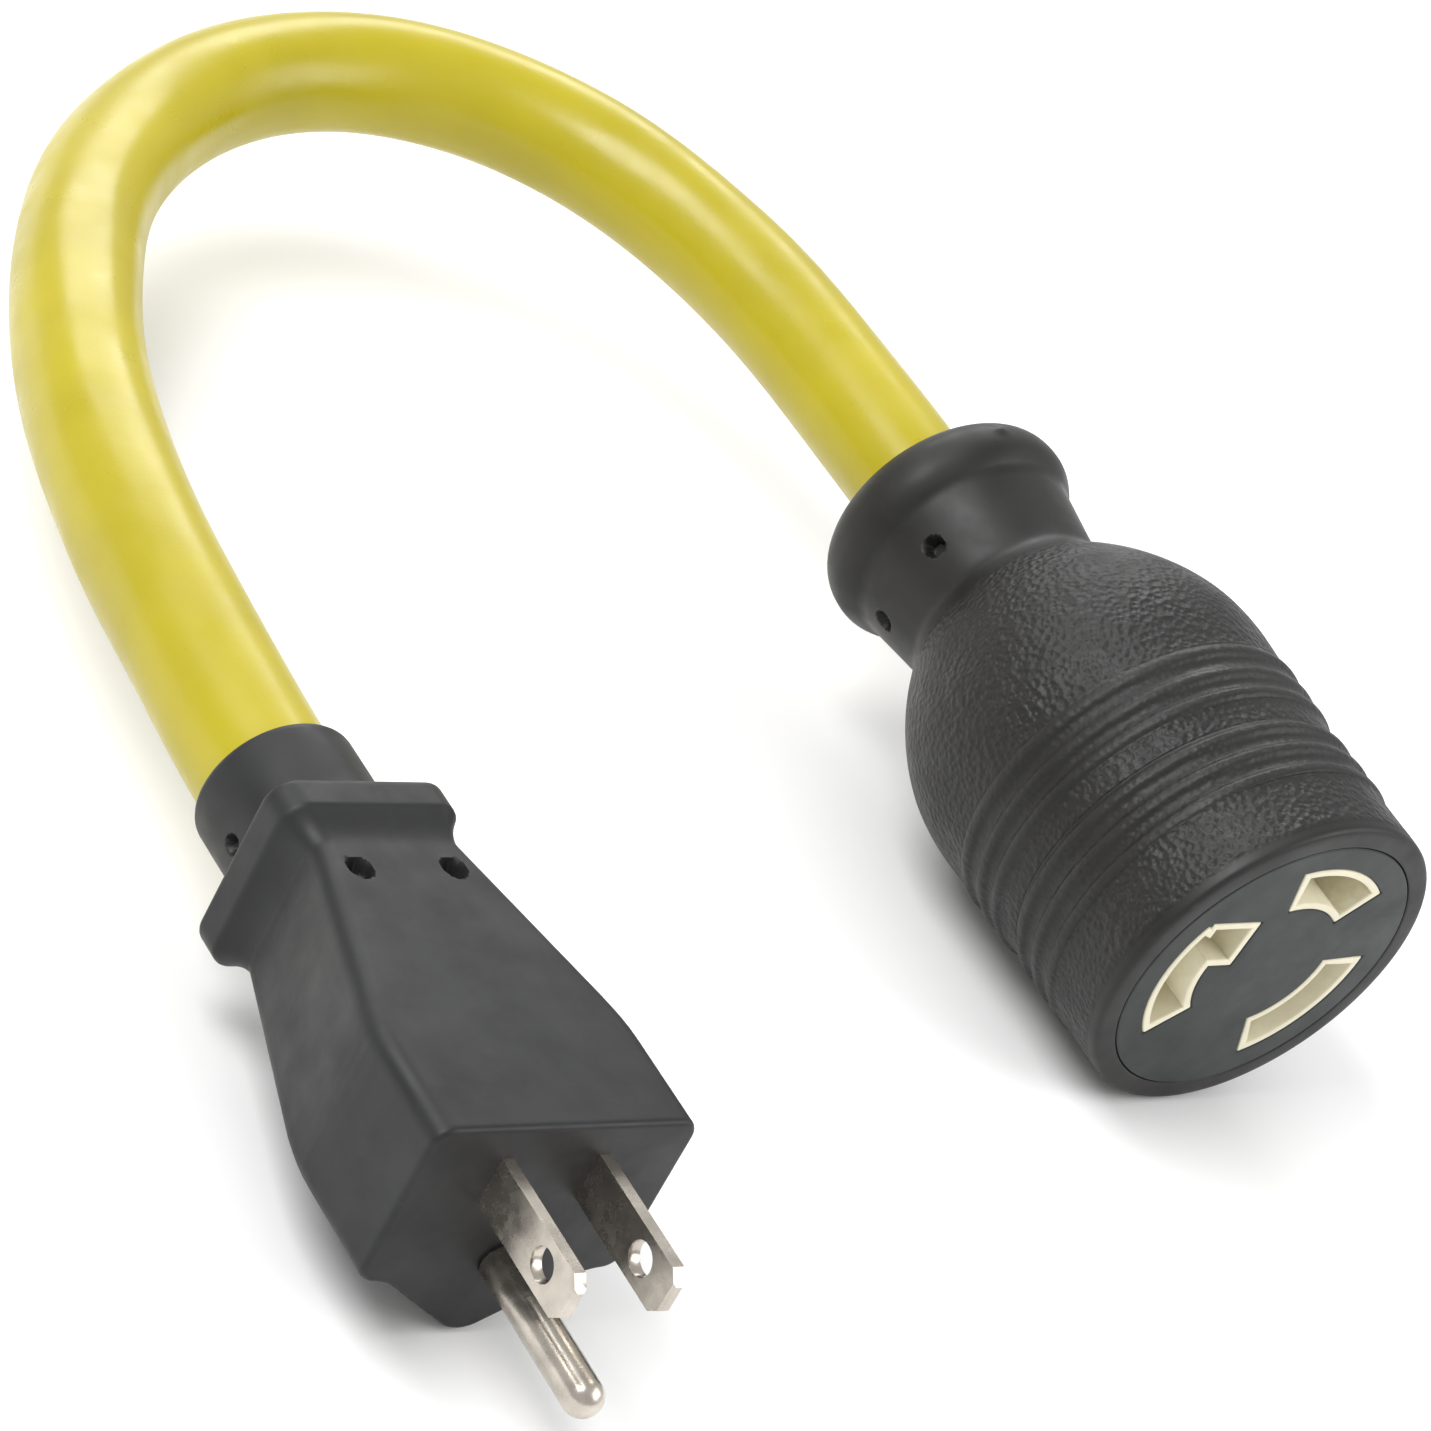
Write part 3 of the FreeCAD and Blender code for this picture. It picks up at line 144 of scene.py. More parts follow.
class Shader:
    """A Principled material, with short ways to make the nodes that feed it."""

    def __init__(self, name):
        self.material = bpy.data.materials.new(name)
        self.material.use_nodes = True
        self.tree = self.material.node_tree
        self.place = self.node("TexCoord").outputs["Object"]

    def feed(self, node, inputs):
        """Link or set each input. A colour is given as RGB."""
        for key, value in inputs.items():
            socket = node.inputs[key]
            if isinstance(value, bpy.types.NodeSocket):
                self.tree.links.new(value, socket)
            elif socket.type == "RGBA":
                socket.default_value = (*value, 1.0)
            else:
                socket.default_value = value

    def node(self, kind, inputs=None, **settings):
        node = self.tree.nodes.new("ShaderNode" + kind)
        for key, value in settings.items():
            setattr(node, key, value)
        self.feed(node, inputs or {})
        return node

    def surface(self, inputs):
        self.feed(self.tree.nodes["Principled BSDF"], inputs)

    def noise(self, scale, detail=3.0, roughness=0.55, stretch=None):
        place = self.place
        if stretch:
            mapping = self.node("Mapping", {"Scale": stretch, "Vector": place})
            place = mapping.outputs["Vector"]
        inputs = {"Scale": scale, "Detail": detail, "Roughness": roughness, "Vector": place}
        return self.node("TexNoise", inputs).outputs["Fac"]

    def cells(self, scale, smoothness):
        inputs = {"Scale": scale, "Smoothness": smoothness, "Vector": self.place}
        return self.node("TexVoronoi", inputs, feature="SMOOTH_F1").outputs["Distance"]

    def bands(self, scale, distortion=0.0):
        inputs = {"Scale": scale, "Distortion": distortion, "Vector": self.place}
        wave = self.node("TexWave", inputs, wave_type="BANDS", bands_direction="DIAGONAL")
        return wave.outputs["Fac"]

    def remap(self, value, cut, result=(0.0, 1.0)):
        """Stretch the range cut = (low, high) to the range result."""
        return self.node("MapRange", {
            "From Min": cut[0], "From Max": cut[1],
            "To Min": result[0], "To Max": result[1],
            "Value": value}).outputs["Result"]

    def patches(self, scale, cut, result=(0.0, 1.0), detail=3.0, roughness=0.55):
        return self.remap(self.noise(scale, detail, roughness), cut, result)

    def mix(self, amount, first, second):
        # a colour Mix node has its factor at input 0 and its colours at 6 and 7
        return self.node("Mix", {0: amount, 6: first, 7: second}, data_type="RGBA").outputs[2]

    def math(self, operation, first, second):
        return self.node("Math", {0: first, 1: second}, operation=operation).outputs[0]

    def bump(self, height, distance, strength, over=None):
        inputs = {"Distance": distance, "Strength": strength, "Height": height}
        if over is not None:
            inputs["Normal"] = over
        return self.node("Bump", inputs).outputs["Normal"]

    def wear_edges(self, base, worn, amount):
        """Show the worn colour in patches along convex edges."""
        pointiness = self.node("NewGeometry").outputs["Pointiness"]
        wear = self.math(
            "MULTIPLY",
            self.remap(pointiness, cut=(0.52, 0.6)),
            self.patches(scale=700, cut=(0.35, 0.7), result=(0.0, amount)))
        return self.mix(wear, base, worn)


def black_vinyl(name, tint=(0.0095, 0.0098, 0.0102), lift=1.0, grain_depth=0.0):
    """Dusty black moulding. The mesh attribute "grain" says where the leather grain shows."""
    s = Shader(name)
    tones = shade(tint, 0.85 * lift), shade(tint, 1.35 * lift)
    base = s.mix(s.patches(scale=60, cut=(0.35, 0.65)), *tones)
    dust = s.patches(scale=420, detail=5, cut=(0.6, 0.82), result=(0.0, 0.14))
    base = s.mix(dust, base, (0.05, 0.048, 0.045))
    normal = s.bump(s.noise(scale=2600), distance=0.00002, strength=0.5)
    if grain_depth:
        where = s.node("Attribute", attribute_name="grain").outputs["Fac"]
        fine = s.math("MULTIPLY", s.noise(scale=2300), 0.35)
        height = s.math("ADD", s.cells(scale=1150, smoothness=0.6), fine)
        height = s.math("MULTIPLY", height, where)
        normal = s.bump(height, distance=grain_depth, strength=1.0, over=normal)
    s.surface({
        "Base Color": s.wear_edges(base, worn=(0.05, 0.049, 0.046), amount=0.5),
        "Roughness": s.patches(scale=160, cut=(0.3, 0.7), result=(0.40, 0.56)),
        "Specular IOR Level": 0.38,
        "Normal": normal})
    return s.material


def yellow_jacket():
    s = Shader("yellow_jacket")
    base = s.mix(
        s.patches(scale=38, detail=2, cut=(0.35, 0.68)),
        (0.42, 0.350, 0.0010), (0.36, 0.298, 0.0008))
    pale = s.patches(scale=95, detail=4, cut=(0.52, 0.8), result=(0.0, 0.25))
    base = s.mix(pale, base, (0.43, 0.36, 0.03))
    scuffs = s.patches(scale=900, detail=4, roughness=0.7, cut=(0.66, 0.8), result=(0.0, 0.35))
    waves = s.bump(s.noise(scale=230), distance=0.00012, strength=0.5)
    s.surface({
        "Base Color": s.mix(scuffs, base, (0.20, 0.15, 0.01)),
        "Roughness": s.patches(scale=130, detail=4, cut=(0.3, 0.72), result=(0.26, 0.44)),
        "Coat Weight": 0.12,
        "Coat Roughness": 0.22,
        "Subsurface Weight": 0.02,
        "Subsurface Radius": (0.002, 0.0012, 0.0003),
        "Normal": s.bump(
            s.noise(scale=2400, detail=2), distance=0.00002, strength=0.6, over=waves)})
    return s.material


def plastic(name, color, roughness, vary=0.2, relief=0.00003, scale=900, subsurface=0.0):
    """Mottled plastic. vary is the share by which its colour changes."""
    s = Shader(name)
    base = s.mix(
        s.patches(scale=scale / 8.0, cut=(0.3, 0.7)),
        shade(color, 1 - vary), shade(color, 1 + vary * 0.6))
    worn = tuple(min(1.0, channel * 1.5 + 0.02) for channel in color)
    s.surface({
        "Base Color": s.wear_edges(base, worn, amount=0.45),
        "Roughness": s.patches(
            scale=scale / 4.0, cut=(0.3, 0.7), result=(roughness * 0.8, roughness * 1.25)),
        "Normal": s.bump(
            s.noise(scale, detail=4, roughness=0.6), distance=relief, strength=0.6)})
    if subsurface:
        s.surface({
            "Subsurface Weight": subsurface,
            "Subsurface Radius": (0.002, 0.0015, 0.001)})
    return s.material


def metal(name, color, roughness, spots):
    """Brushed metal. spots is how strongly the dark specks show."""
    s = Shader(name)
    base = s.mix(
        s.patches(scale=260, detail=4, cut=(0.35, 0.7)), color, shade(color, 0.72))
    specks = s.patches(
        scale=1500, detail=5, roughness=0.7, cut=(0.58, 0.75), result=(0.0, spots))
    brushing = s.noise(scale=900, roughness=0.6, stretch=(1.0, 0.08, 1.0))
    brushed = s.bump(brushing, distance=0.00002, strength=0.7)
    s.surface({
        "Base Color": s.mix(specks, base, shade(color, 0.45)),
        "Metallic": 1.0,
        "Roughness": s.patches(
            scale=420, detail=4, cut=(0.3, 0.7), result=(roughness * 0.8, roughness * 1.4)),
        "Normal": s.bump(
            s.noise(scale=3000, detail=2), distance=0.000008, strength=0.5, over=brushed)})
    return s.material


def filler_fibre():
    s = Shader("filler")
    color = (0.62, 0.55, 0.40)
    fibres = s.bands(scale=700.0, distortion=1.5)
    s.surface({
        "Base Color": s.mix(fibres, shade(color, 0.6), color),
        "Roughness": 0.8,
        "Sheen Weight": 0.3,
        "Normal": s.bump(fibres, distance=0.0002, strength=0.8)})
    return s.material


def copper_strands():
    s = Shader("copper")
    strands = s.bands(scale=900.0)
    s.surface({
        "Base Color": s.mix(strands, (0.36, 0.16, 0.07), (0.80, 0.42, 0.24)),
        "Metallic": 1.0,
        "Roughness": 0.32,
        "Normal": s.bump(strands, distance=0.00012, strength=0.9)})
    return s.material


MATERIALS = {
    "black_pvc": black_vinyl("black_pvc"),
    "connector_pvc": black_vinyl(
        "connector_pvc", tint=(0.0102, 0.0097, 0.0092), grain_depth=0.00028),
    "face_pvc": black_vinyl("face_pvc", tint=(0.016, 0.019, 0.0185), lift=1.15),
    "yellow_pvc": yellow_jacket(),
    "ivory_plastic": plastic(
        "ivory_plastic", color=(0.74, 0.69, 0.52), roughness=0.42, vary=0.08, subsurface=0.08),
    "nickel_plate": metal(
        "nickel_plate", color=(0.60, 0.55, 0.48), roughness=0.24, spots=0.12),
    "contact_brass": metal(
        "contact_brass", color=(0.78, 0.56, 0.25), roughness=0.25, spots=0.3),
    "copper": copper_strands(),
    "core_black": plastic("core_black", color=(0.025, 0.025, 0.027), roughness=0.35),
    "core_white": plastic("core_white", color=(0.80, 0.80, 0.77), roughness=0.35, vary=0.06),
    "core_green": plastic("core_green", color=(0.02, 0.24, 0.07), roughness=0.35),
    "filler": filler_fibre(),
    "inner_mold": plastic(
        "inner_mold", color=(0.07, 0.07, 0.07), roughness=0.6, relief=0.00008, scale=1200),
}


def paint(piece, key):
    piece.data.materials.clear()
    piece.data.materials.append(MATERIALS[key])


for name, part in NODES.items():
    paint(part, SLOT_OF[name])


# ---------------------------------------------------------------- mesh helpers
def link_new(name, data):
    obj = bpy.data.objects.new(name, data)
    bpy.context.scene.collection.objects.link(obj)
    return obj


def smooth_object(name, points, faces):
    """Smooth-shaded object from points in mm."""
    mesh = bpy.data.meshes.new(name)
    mesh.from_pydata([tuple(point) for point in np.asarray(points) / MM_PER_M], [], faces)
    mesh.polygons.foreach_set("use_smooth", [True] * len(mesh.polygons))
    mesh.update()
    return link_new(name, mesh)


def ring_object(name, rings, axis_points, cap_first=False):
    """Skin of quads over closed rings (ring, point, xyz), with its faces turned outwards.

    axis_points gives, for each face centre, a point on the axis it should face away from.
    """
    rings = np.asarray(rings, float)
    ring_count, size, _ = rings.shape
    points = rings.reshape(-1, 3)
    faces = []
    for i in range(ring_count - 1):
        row, after = i * size, (i + 1) * size
        for j in range(size):
            k = (j + 1) % size
            faces.append((row + j, row + k, after + k, after + j))
    if cap_first:
        faces += [((j + 1) % size, j, len(points)) for j in range(size)]
        points = np.vstack([points, rings[0].mean(0)])
    obj = smooth_object(name, points, faces)
    centres = np.array([face.center for face in obj.data.polygons]) * MM_PER_M
    normals = np.array([face.normal for face in obj.data.polygons])
    if np.median(((centres - axis_points(centres)) * normals).sum(1)) < 0:
        obj.data.flip_normals()
    return obj


def around(count):
    return np.linspace(0, 2 * np.pi, count, endpoint=False)


def angle_from(angles, degrees):
    """Signed turn from a direction in degrees, within half a turn."""
    return (angles - math.radians(degrees) + np.pi) % (2 * np.pi) - np.pi


def pit(distance, radius, depth):
    """Depth of a round flat-bottomed pit, with a wall 0.3 mm wide."""
    return depth * np.clip((radius + 0.15 - distance) / 0.3, 0, 1)


def nearest(points, place):
    return int(np.argmin(((points - place) ** 2).sum(1)))


# ---------------------------------------------------------------- cord centre line
CORD_Z = -3.0             # cord axis in the plug's frame
JACKET_RADIUS = 8.2
LOBE_HEIGHT = 0.05        # three low lobes that wind round the jacket
LOBE_PITCH = 110.0        # cord length for one turn of the lobes
SWELL = 0.025             # slow change of radius along the cord
SWELL_RATE = 0.21         # radians per mm
RING_START, RING_STEP = 2.0, 0.8
END_REACH = 9.0           # from the first or last joint to the cut beyond it
LINKS_REPLACED = 15       # bends that stand in for a jacket link of the frame

# spline poles of the loop from plug to connector: x, y, z from PLUG_PLACE
LOOP_POLES = PLUG_PLACE + np.array([
    (0, 58, -3), (0, 72.89, -3), (0.05, 85.68, -2.06), (3.83, 129.64, -2.33),
    (21, 169.58, -0.83), (37.78, 189.65, -0.99), (54.38, 201.11, 2.41),
    (73, 205.42, 5.18), (92.39, 201.42, 7.79), (110.52, 186.85, 8.73),
    (121.98, 159.8, 8.75), (122.52, 130.13, 8.01), (123.27, 108.23, 6.59)], float)


def clamped_cubic_spline(poles, samples_per_span=40):
    spans = len(poles) - 3
    knots = [0.0] * 3 + [k / spans for k in range(spans + 1)] + [1.0] * 3
    samples = []
    for u in np.linspace(0, 1, samples_per_span * spans + 1):
        span = min(max(np.searchsorted(knots, u, side="right") - 1, 3), len(poles) - 1)
        active = [poles[span - 3 + j] for j in range(4)]
        for level in range(1, 4):
            for j in range(3, level - 1, -1):
                i = span - 3 + j
                share = (u - knots[i]) / (knots[i + 4 - level] - knots[i])
                active[j] = (1 - share) * active[j - 1] + share * active[j]
        samples.append(active[3])
    return np.array(samples)


def cord_line():
    """Straight run in the plug, the loop, then a straight run into the connector."""
    loop = clamped_cubic_spline(LOOP_POLES)
    join = float((loop[-1] - CONNECTOR_PLACE) @ CONNECTOR_BACK)
    plug_run = [PLUG_PLACE + np.array([0, y, CORD_Z]) for y in np.arange(34, 57.5, 0.5)]
    connector_run = [
        CONNECTOR_PLACE + CONNECTOR_BACK * behind for behind in np.linspace(join - 6, 56, 70)]
    line = np.vstack([plug_run, loop, connector_run])
    for _ in range(12):  # ease the joins between the runs
        eased = line.copy()
        eased[1:-1] = 0.25 * line[:-2] + 0.5 * line[1:-1] + 0.25 * line[2:]
        line = eased
    return line


LINE = cord_line()
LINE_LENGTHS = np.concatenate([[0], np.cumsum(np.linalg.norm(np.diff(LINE, axis=0), axis=1))])
CORD_LENGTH = LINE_LENGTHS[-1]


def centre(length):
    """Point on the cord's axis at a length, or an array of lengths, from the plug end."""
    return np.array([np.interp(length, LINE_LENGTHS, LINE[:, i]) for i in range(3)]).T


def tangent(length):
    chord = centre(length + 1.5) - centre(length - 1.5)
    return chord / np.linalg.norm(chord)


# lengths at which the frame's joints sit, and the cuts between the pieces along the cord
SEARCH_LENGTHS = np.linspace(0, CORD_LENGTH, 4000)
SEARCH_POINTS = centre(SEARCH_LENGTHS)
JOINT_AT = [
    float(SEARCH_LENGTHS[nearest(SEARCH_POINTS, np.array(joint["pos_m"]) * MM_PER_M)])
    for joint in JOINTS]
CUTS = [
    JOINT_AT[0] - END_REACH,
    *[(a + b) / 2 for a, b in zip(JOINT_AT[:-1], JOINT_AT[1:])],
    JOINT_AT[-1] + END_REACH]
LAST_GROUP = len(JOINTS) + 1


def attach_cord_piece(piece, slot, group, replaced):
    """Group 0 rides the plug, the last the connector, and each other stays in place, unparented.
    """
    paint(piece, slot)
    if group == 0:
        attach(piece, "plug")
    elif group == LAST_GROUP:
        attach(piece, "connector")
    else:
        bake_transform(piece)
    if replaced:
        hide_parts(replaced)


# ---------------------------------------------------------------- cord jacket
def jacket_rings(lengths):
    angles = around(96)
    up = np.array([0, 0, 1.0])
    rings = []
    for length in lengths:
        along = tangent(length)
        up = up - along * (up @ along)  # carried along the cord, so the rings don't twist
        up /= np.linalg.norm(up)
        side = np.cross(along, up)
        lobes = LOBE_HEIGHT * np.cos(3 * (angles - length * 2 * np.pi / LOBE_PITCH))
        radius = JACKET_RADIUS + lobes + SWELL * math.sin(length * SWELL_RATE)
        rings.append(
            centre(length)
            + np.outer(np.cos(angles) * radius, up)
            + np.outer(np.sin(angles) * radius, side))
    return rings


def build_jacket():
    lengths = np.arange(RING_START, CORD_LENGTH - 1.0, RING_STEP)
    rings = jacket_rings(lengths)
    cut_rings = [int(round((cut - lengths[0]) / RING_STEP)) for cut in CUTS]
    edges = [0] + cut_rings + [len(lengths) - 1]
    for group in range(LAST_GROUP + 1):
        if group in (0, LAST_GROUP):
            label = "plug_end" if group == 0 else "connector_end"
            replaced = "cord_jacket_" + label
        else:
            label = "bend_%02d" % group
            replaced = "cord_jacket_link_%02d" % group if group <= LINKS_REPLACED else None
        span = slice(edges[group], edges[group + 1] + 1)
        axis = centre(lengths[span])
        piece = ring_object(
            "jacket_" + label, rings[span],
            lambda centres: axis[[nearest(axis, place) for place in centres]])
        attach_cord_piece(piece, "yellow_pvc", group, replaced)


build_jacket()


# ---------------------------------------------------------------- cores and fillers
def split_at_cuts(node):
    """Cut a core or filler of the frame into one piece for each group along the cord."""
    source = NODES[node].data
    points = np.array([vertex.co for vertex in source.vertices]) * MM_PER_M
    coarse = SEARCH_POINTS[::4]
    at = SEARCH_LENGTHS[np.array([nearest(coarse, point) for point in points]) * 4]
    groups = {}
    for face in source.polygons:
        middle = float(np.mean([at[v] for v in face.vertices]))
        groups.setdefault(int(np.searchsorted(CUTS, middle)), []).append(tuple(face.vertices))
    for group, faces in sorted(groups.items()):
        used = sorted({v for face in faces for v in face})
        new_index = {v: i for i, v in enumerate(used)}
        piece = smooth_object(
            "%s_%02d" % (node, group), points[used],
            [tuple(new_index[v] for v in face) for face in faces])
        attach_cord_piece(piece, SLOT_OF[node], group, node)


for node in list(NODES):
    if node.endswith(("_insulation", "_copper_strands")) or node == "cord_fillers":
        split_at_cuts(node)

# ---------------------------------------------------------------- connector moulding
# lathe outline: radius, distance behind the face; from inside the front rim, over the
# outside and into the cord hole
CONNECTOR_OUTLINE = [
    (20.86, 12.0), (20.86, 0.35), (20.95, 0.08), (21.2, 0.0), (23.1, 0.0), (23.7, 0.25),
    (24.0, 0.9), (23.9, 5.0), (23.9, 9.6), (24.3, 10.1), (24.35, 10.7), (24.3, 11.3),
    (23.75, 11.9), (23.75, 13.1), (24.3, 13.7), (24.35, 14.2), (24.3, 14.8), (23.7, 15.5),
    (23.65, 16.8), (24.25, 17.4), (24.3, 17.9), (24.25, 18.5), (23.6, 19.2), (23.75, 19.8),
    (23.85, 22.7), (24.4, 23.3), (24.5, 23.8), (24.45, 24.4), (23.95, 25.1), (23.95, 26.1),
    (24.5, 26.7), (24.6, 27.3), (24.5, 27.8), (24.1, 28.5), (24.1, 29.7), (24.6, 30.3),
    (24.7, 30.9), (24.6, 31.5), (24.25, 32.2), (24.5, 36.0), (24.6, 38.5), (24.45, 41.5),
    (24.0, 44.5), (23.15, 47.5), (21.95, 50.5), (20.3, 53.7), (18.4, 56.6), (16.3, 59.2),
    (14.9, 60.9), (14.15, 62.3), (14.1, 63.6), (14.4, 66.0), (14.9, 69.5), (15.25, 72.0),
    (15.5, 73.9), (16.5, 75.2), (17.2, 76.7), (17.35, 78.2), (17.1, 80.1), (16.3, 81.7),
    (14.8, 83.1), (12.6, 83.85), (10.0, 84.0), (8.7, 83.9), (8.27, 83.3), (8.25, 78.0)]
OUTLINE_SPACING = 0.4
NECK_PITS = [(154.9, 68.5), (-150.0, 69.1)]   # angle in degrees, distance behind the face
NECK_RADIUS = 14.7                            # turns angle to arc at the pits
NUB_ANGLE, NUB_BEHIND, NUB_HEIGHT = 95.5, 79.2, 0.35
LIP_RADIUS = 17.2                             # turns angle to arc at the nub


def cut_corners(points, rounds):
    """Chaikin corner cutting that keeps both end points."""
    points = np.array(points, float)
    for _ in range(rounds):
        softer = [points[0]]
        for a, b in zip(points[:-1], points[1:]):
            softer += [0.75 * a + 0.25 * b, 0.25 * a + 0.75 * b]
        softer.append(points[-1])
        points = np.array(softer)
    return points


def fill_in(points, spacing):
    """Add even points so that no step is longer than the spacing."""
    filled = [points[0]]
    for a, b in zip(points[:-1], points[1:]):
        steps = max(1, int(math.ceil(np.linalg.norm(b - a) / spacing)))
        filled += [a + (b - a) * i / steps for i in range(1, steps + 1)]
    return np.array(filled)


def connector_axis(centres):
    out = (centres - CONNECTOR_PLACE) @ CONNECTOR_AXES[:, 2]
    return CONNECTOR_PLACE + np.outer(out, CONNECTOR_AXES[:, 2])


def connector_grain(radius, behind):
    """Grain on the outside of the body, from the front rim to the neck, faint on the ribs."""
    body = np.clip((behind - 1.6) / 0.8, 0, 1) * np.clip((60.0 - behind) / 1.5, 0, 1)
    between_ribs = (behind > 19.5) & (behind < 22.8)
    ribs = (behind > 9.8) & (behind < 32.0) & ~between_ribs
    return body * (radius > 15) * (1.0 - 0.65 * ribs)


def build_connector():
    outline = fill_in(cut_corners(CONNECTOR_OUTLINE, rounds=2), OUTLINE_SPACING)
    angles = around(360)
    behind = outline[:, 1][:, None]
    radius = np.repeat(outline[:, 0][:, None], len(angles), 1)
    outer = radius > 13.5  # leaves the cord hole plain
    for degrees, pit_behind in NECK_PITS:
        distance = np.hypot(angle_from(angles, degrees) * NECK_RADIUS, behind - pit_behind)
        radius -= np.where(outer, pit(distance, radius=1.3, depth=2.0), 0)
    arc = angle_from(angles, NUB_ANGLE) * LIP_RADIUS
    nub = NUB_HEIGHT * np.exp(-(arc ** 2 + (behind - NUB_BEHIND) ** 2) / 0.8)
    radius += np.where(outer, nub, 0)
    points = np.stack([
        radius * np.cos(angles),
        radius * np.sin(angles),
        np.broadcast_to(-behind, radius.shape)], 2)
    shell = ring_object(
        "connector_shell", CONNECTOR_PLACE + points @ CONNECTOR_AXES.T, connector_axis)
    grain = shell.data.attributes.new("grain", "FLOAT", "POINT")
    grain.data.foreach_set("value", connector_grain(radius, behind).ravel().astype(np.float32))
    paint(shell, "connector_pvc")
    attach(shell, "connector")
    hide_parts("connector_overmold")
    return shell


connector_shell = build_connector()

# ---------------------------------------------------------------- plug moulding
# each pair: depths behind the plug's face, then the values there
HALF_WIDTH = [0, 13, 15, 16.4, 18, 20, 44], [17.1, 17.1, 17.02, 16.85, 16.55, 16.1, 9.9]
BOTTOM = [0, 20.4, 44], [-14.4, -14.4, -12.6]
WEDGE_TIP = [0, 3, 31], [-22.5, -22.2, -13.6]
WEDGE_TOP = [0, 18, 31], [-10.6, -10.6, -8.0]
BOX_TOP = 7.5
BOX_CORNER = 2.4
WEDGE_END = 31            # depth at which the wedge stops
WEDGE_INSET = 5.7         # from the box's side to the wedge's top corner
WEDGE_ROUND = 4.2
WEDGE_BLEND = 1.2
FACE_ROUND = 0.7
BACK_ROUND_START, BACK_ROUND = 51.7, 0.8
COLLAR_RADIUS = 9.8       # round collar behind the body
COLLAR_ROUND_START, COLLAR_ROUND = 63.7, 0.9
COLLAR_FILLET = [(52.5, 1.1), (52.65, 0.6), (52.95, 0.25), (53.5, 0.0)]  # depth, added radius
CORD_HOLE = [(64.5, 8.26), (60.0, 8.25)]                                 # depth, radius
TOP_PITS_X, TOP_PITS_DEPTH = (-6.2, 6.2), 39.6
COLLAR_PIT_ANGLE, COLLAR_PIT_DEPTH = 183.0, 55.4
PLUG_ANGLES = around(400)
RAY_X, RAY_Z = np.cos(PLUG_ANGLES), np.sin(PLUG_ANGLES)


def box_field(x, z, half_width, bottom, top, corner):
    """Signed distance to a rounded box."""
    over_x = np.abs(x) - (half_width - corner)
    over_z = np.abs(z - (bottom + top) / 2) - ((top - bottom) / 2 - corner)
    outside = np.hypot(np.maximum(over_x, 0), np.maximum(over_z, 0))
    return outside + np.minimum(np.maximum(over_x, over_z), 0) - corner


def wedge_field(x, z, half_width, top, tip, corner):
    """Signed distance to a triangle with its tip down, grown by its corner radius."""
    x = np.abs(x)
    run, drop = -half_width, tip - top
    from_x, from_z = x - half_width, z - top
    share = np.clip((from_x * run + from_z * drop) / (run ** 2 + drop ** 2), 0, 1)
    to_side = np.hypot(from_x - share * run, from_z - share * drop)
    to_top = np.hypot(x - np.minimum(x, half_width), from_z)
    inside = (from_x * (top - tip) - from_z * half_width < 0) & (z < top)
    distance = np.minimum(to_side, to_top)
    return np.where(inside, -distance, distance) - corner


def smooth_min(a, b, width):
    share = np.clip(0.5 + 0.5 * (b - a) / width, 0, 1)
    return b * (1 - share) + a * share - width * share * (1 - share)


def plug_field(depth, x, z):
    """Field of the body's cross-section, which is negative inside."""
    flare = min(max((depth - 43.3) / 5.0, 0), 1) ** 2.2  # the body widens again at its back
    half_width = np.interp(depth, *HALF_WIDTH)
    box = box_field(
        x, z, half_width + 1.9 * flare,
        bottom=np.interp(depth, *BOTTOM) - 2.4 * flare,
        top=BOX_TOP + 1.4 * flare,
        corner=BOX_CORNER + 1.0 * flare)
    if depth > WEDGE_END:
        return box
    wedge = wedge_field(
        x, z, half_width - WEDGE_INSET,
        top=np.interp(depth, *WEDGE_TOP),
        tip=np.interp(depth, *WEDGE_TIP) + WEDGE_ROUND,
        corner=WEDGE_ROUND)
    return smooth_min(box, wedge, WEDGE_BLEND)


def body_radii(depth, inset):
    """Radius of the body along each ray from the cord axis, found by halving."""
    low, high = np.zeros(len(PLUG_ANGLES)), np.full(len(PLUG_ANGLES), 32.0)
    for _ in range(30):
        middle = (low + high) / 2
        outside = plug_field(depth, RAY_X * middle, CORD_Z + RAY_Z * middle) + inset > 0
        high, low = np.where(outside, middle, high), np.where(outside, low, middle)
    return low


def plug_stations():
    """Depth and radii of every ring, from the face to inside the cord hole."""
    quarter = [(math.sin(a), math.cos(a)) for a in np.linspace(0, np.pi / 2, 6)]
    body = [(FACE_ROUND * (1 - cos), FACE_ROUND * (1 - sin)) for sin, cos in quarter]
    body += [(depth, 0.0) for depth in np.arange(1.0, BACK_ROUND_START, 0.35)]
    body += [
        (BACK_ROUND_START + BACK_ROUND * sin, BACK_ROUND * (1 - cos)) for sin, cos in quarter]
    collar = [(depth, COLLAR_RADIUS + added) for depth, added in COLLAR_FILLET]
    collar += [(depth, COLLAR_RADIUS) for depth in np.arange(53.8, COLLAR_ROUND_START, 0.3)]
    collar += [
        (COLLAR_ROUND_START + COLLAR_ROUND * sin, COLLAR_RADIUS - COLLAR_ROUND * (1 - cos))
        for sin, cos in quarter[1:]]
    stations = [(depth, body_radii(depth, inset)) for depth, inset in body]
    return stations + [
        (depth, np.full(len(PLUG_ANGLES), radius)) for depth, radius in collar + CORD_HOLE]


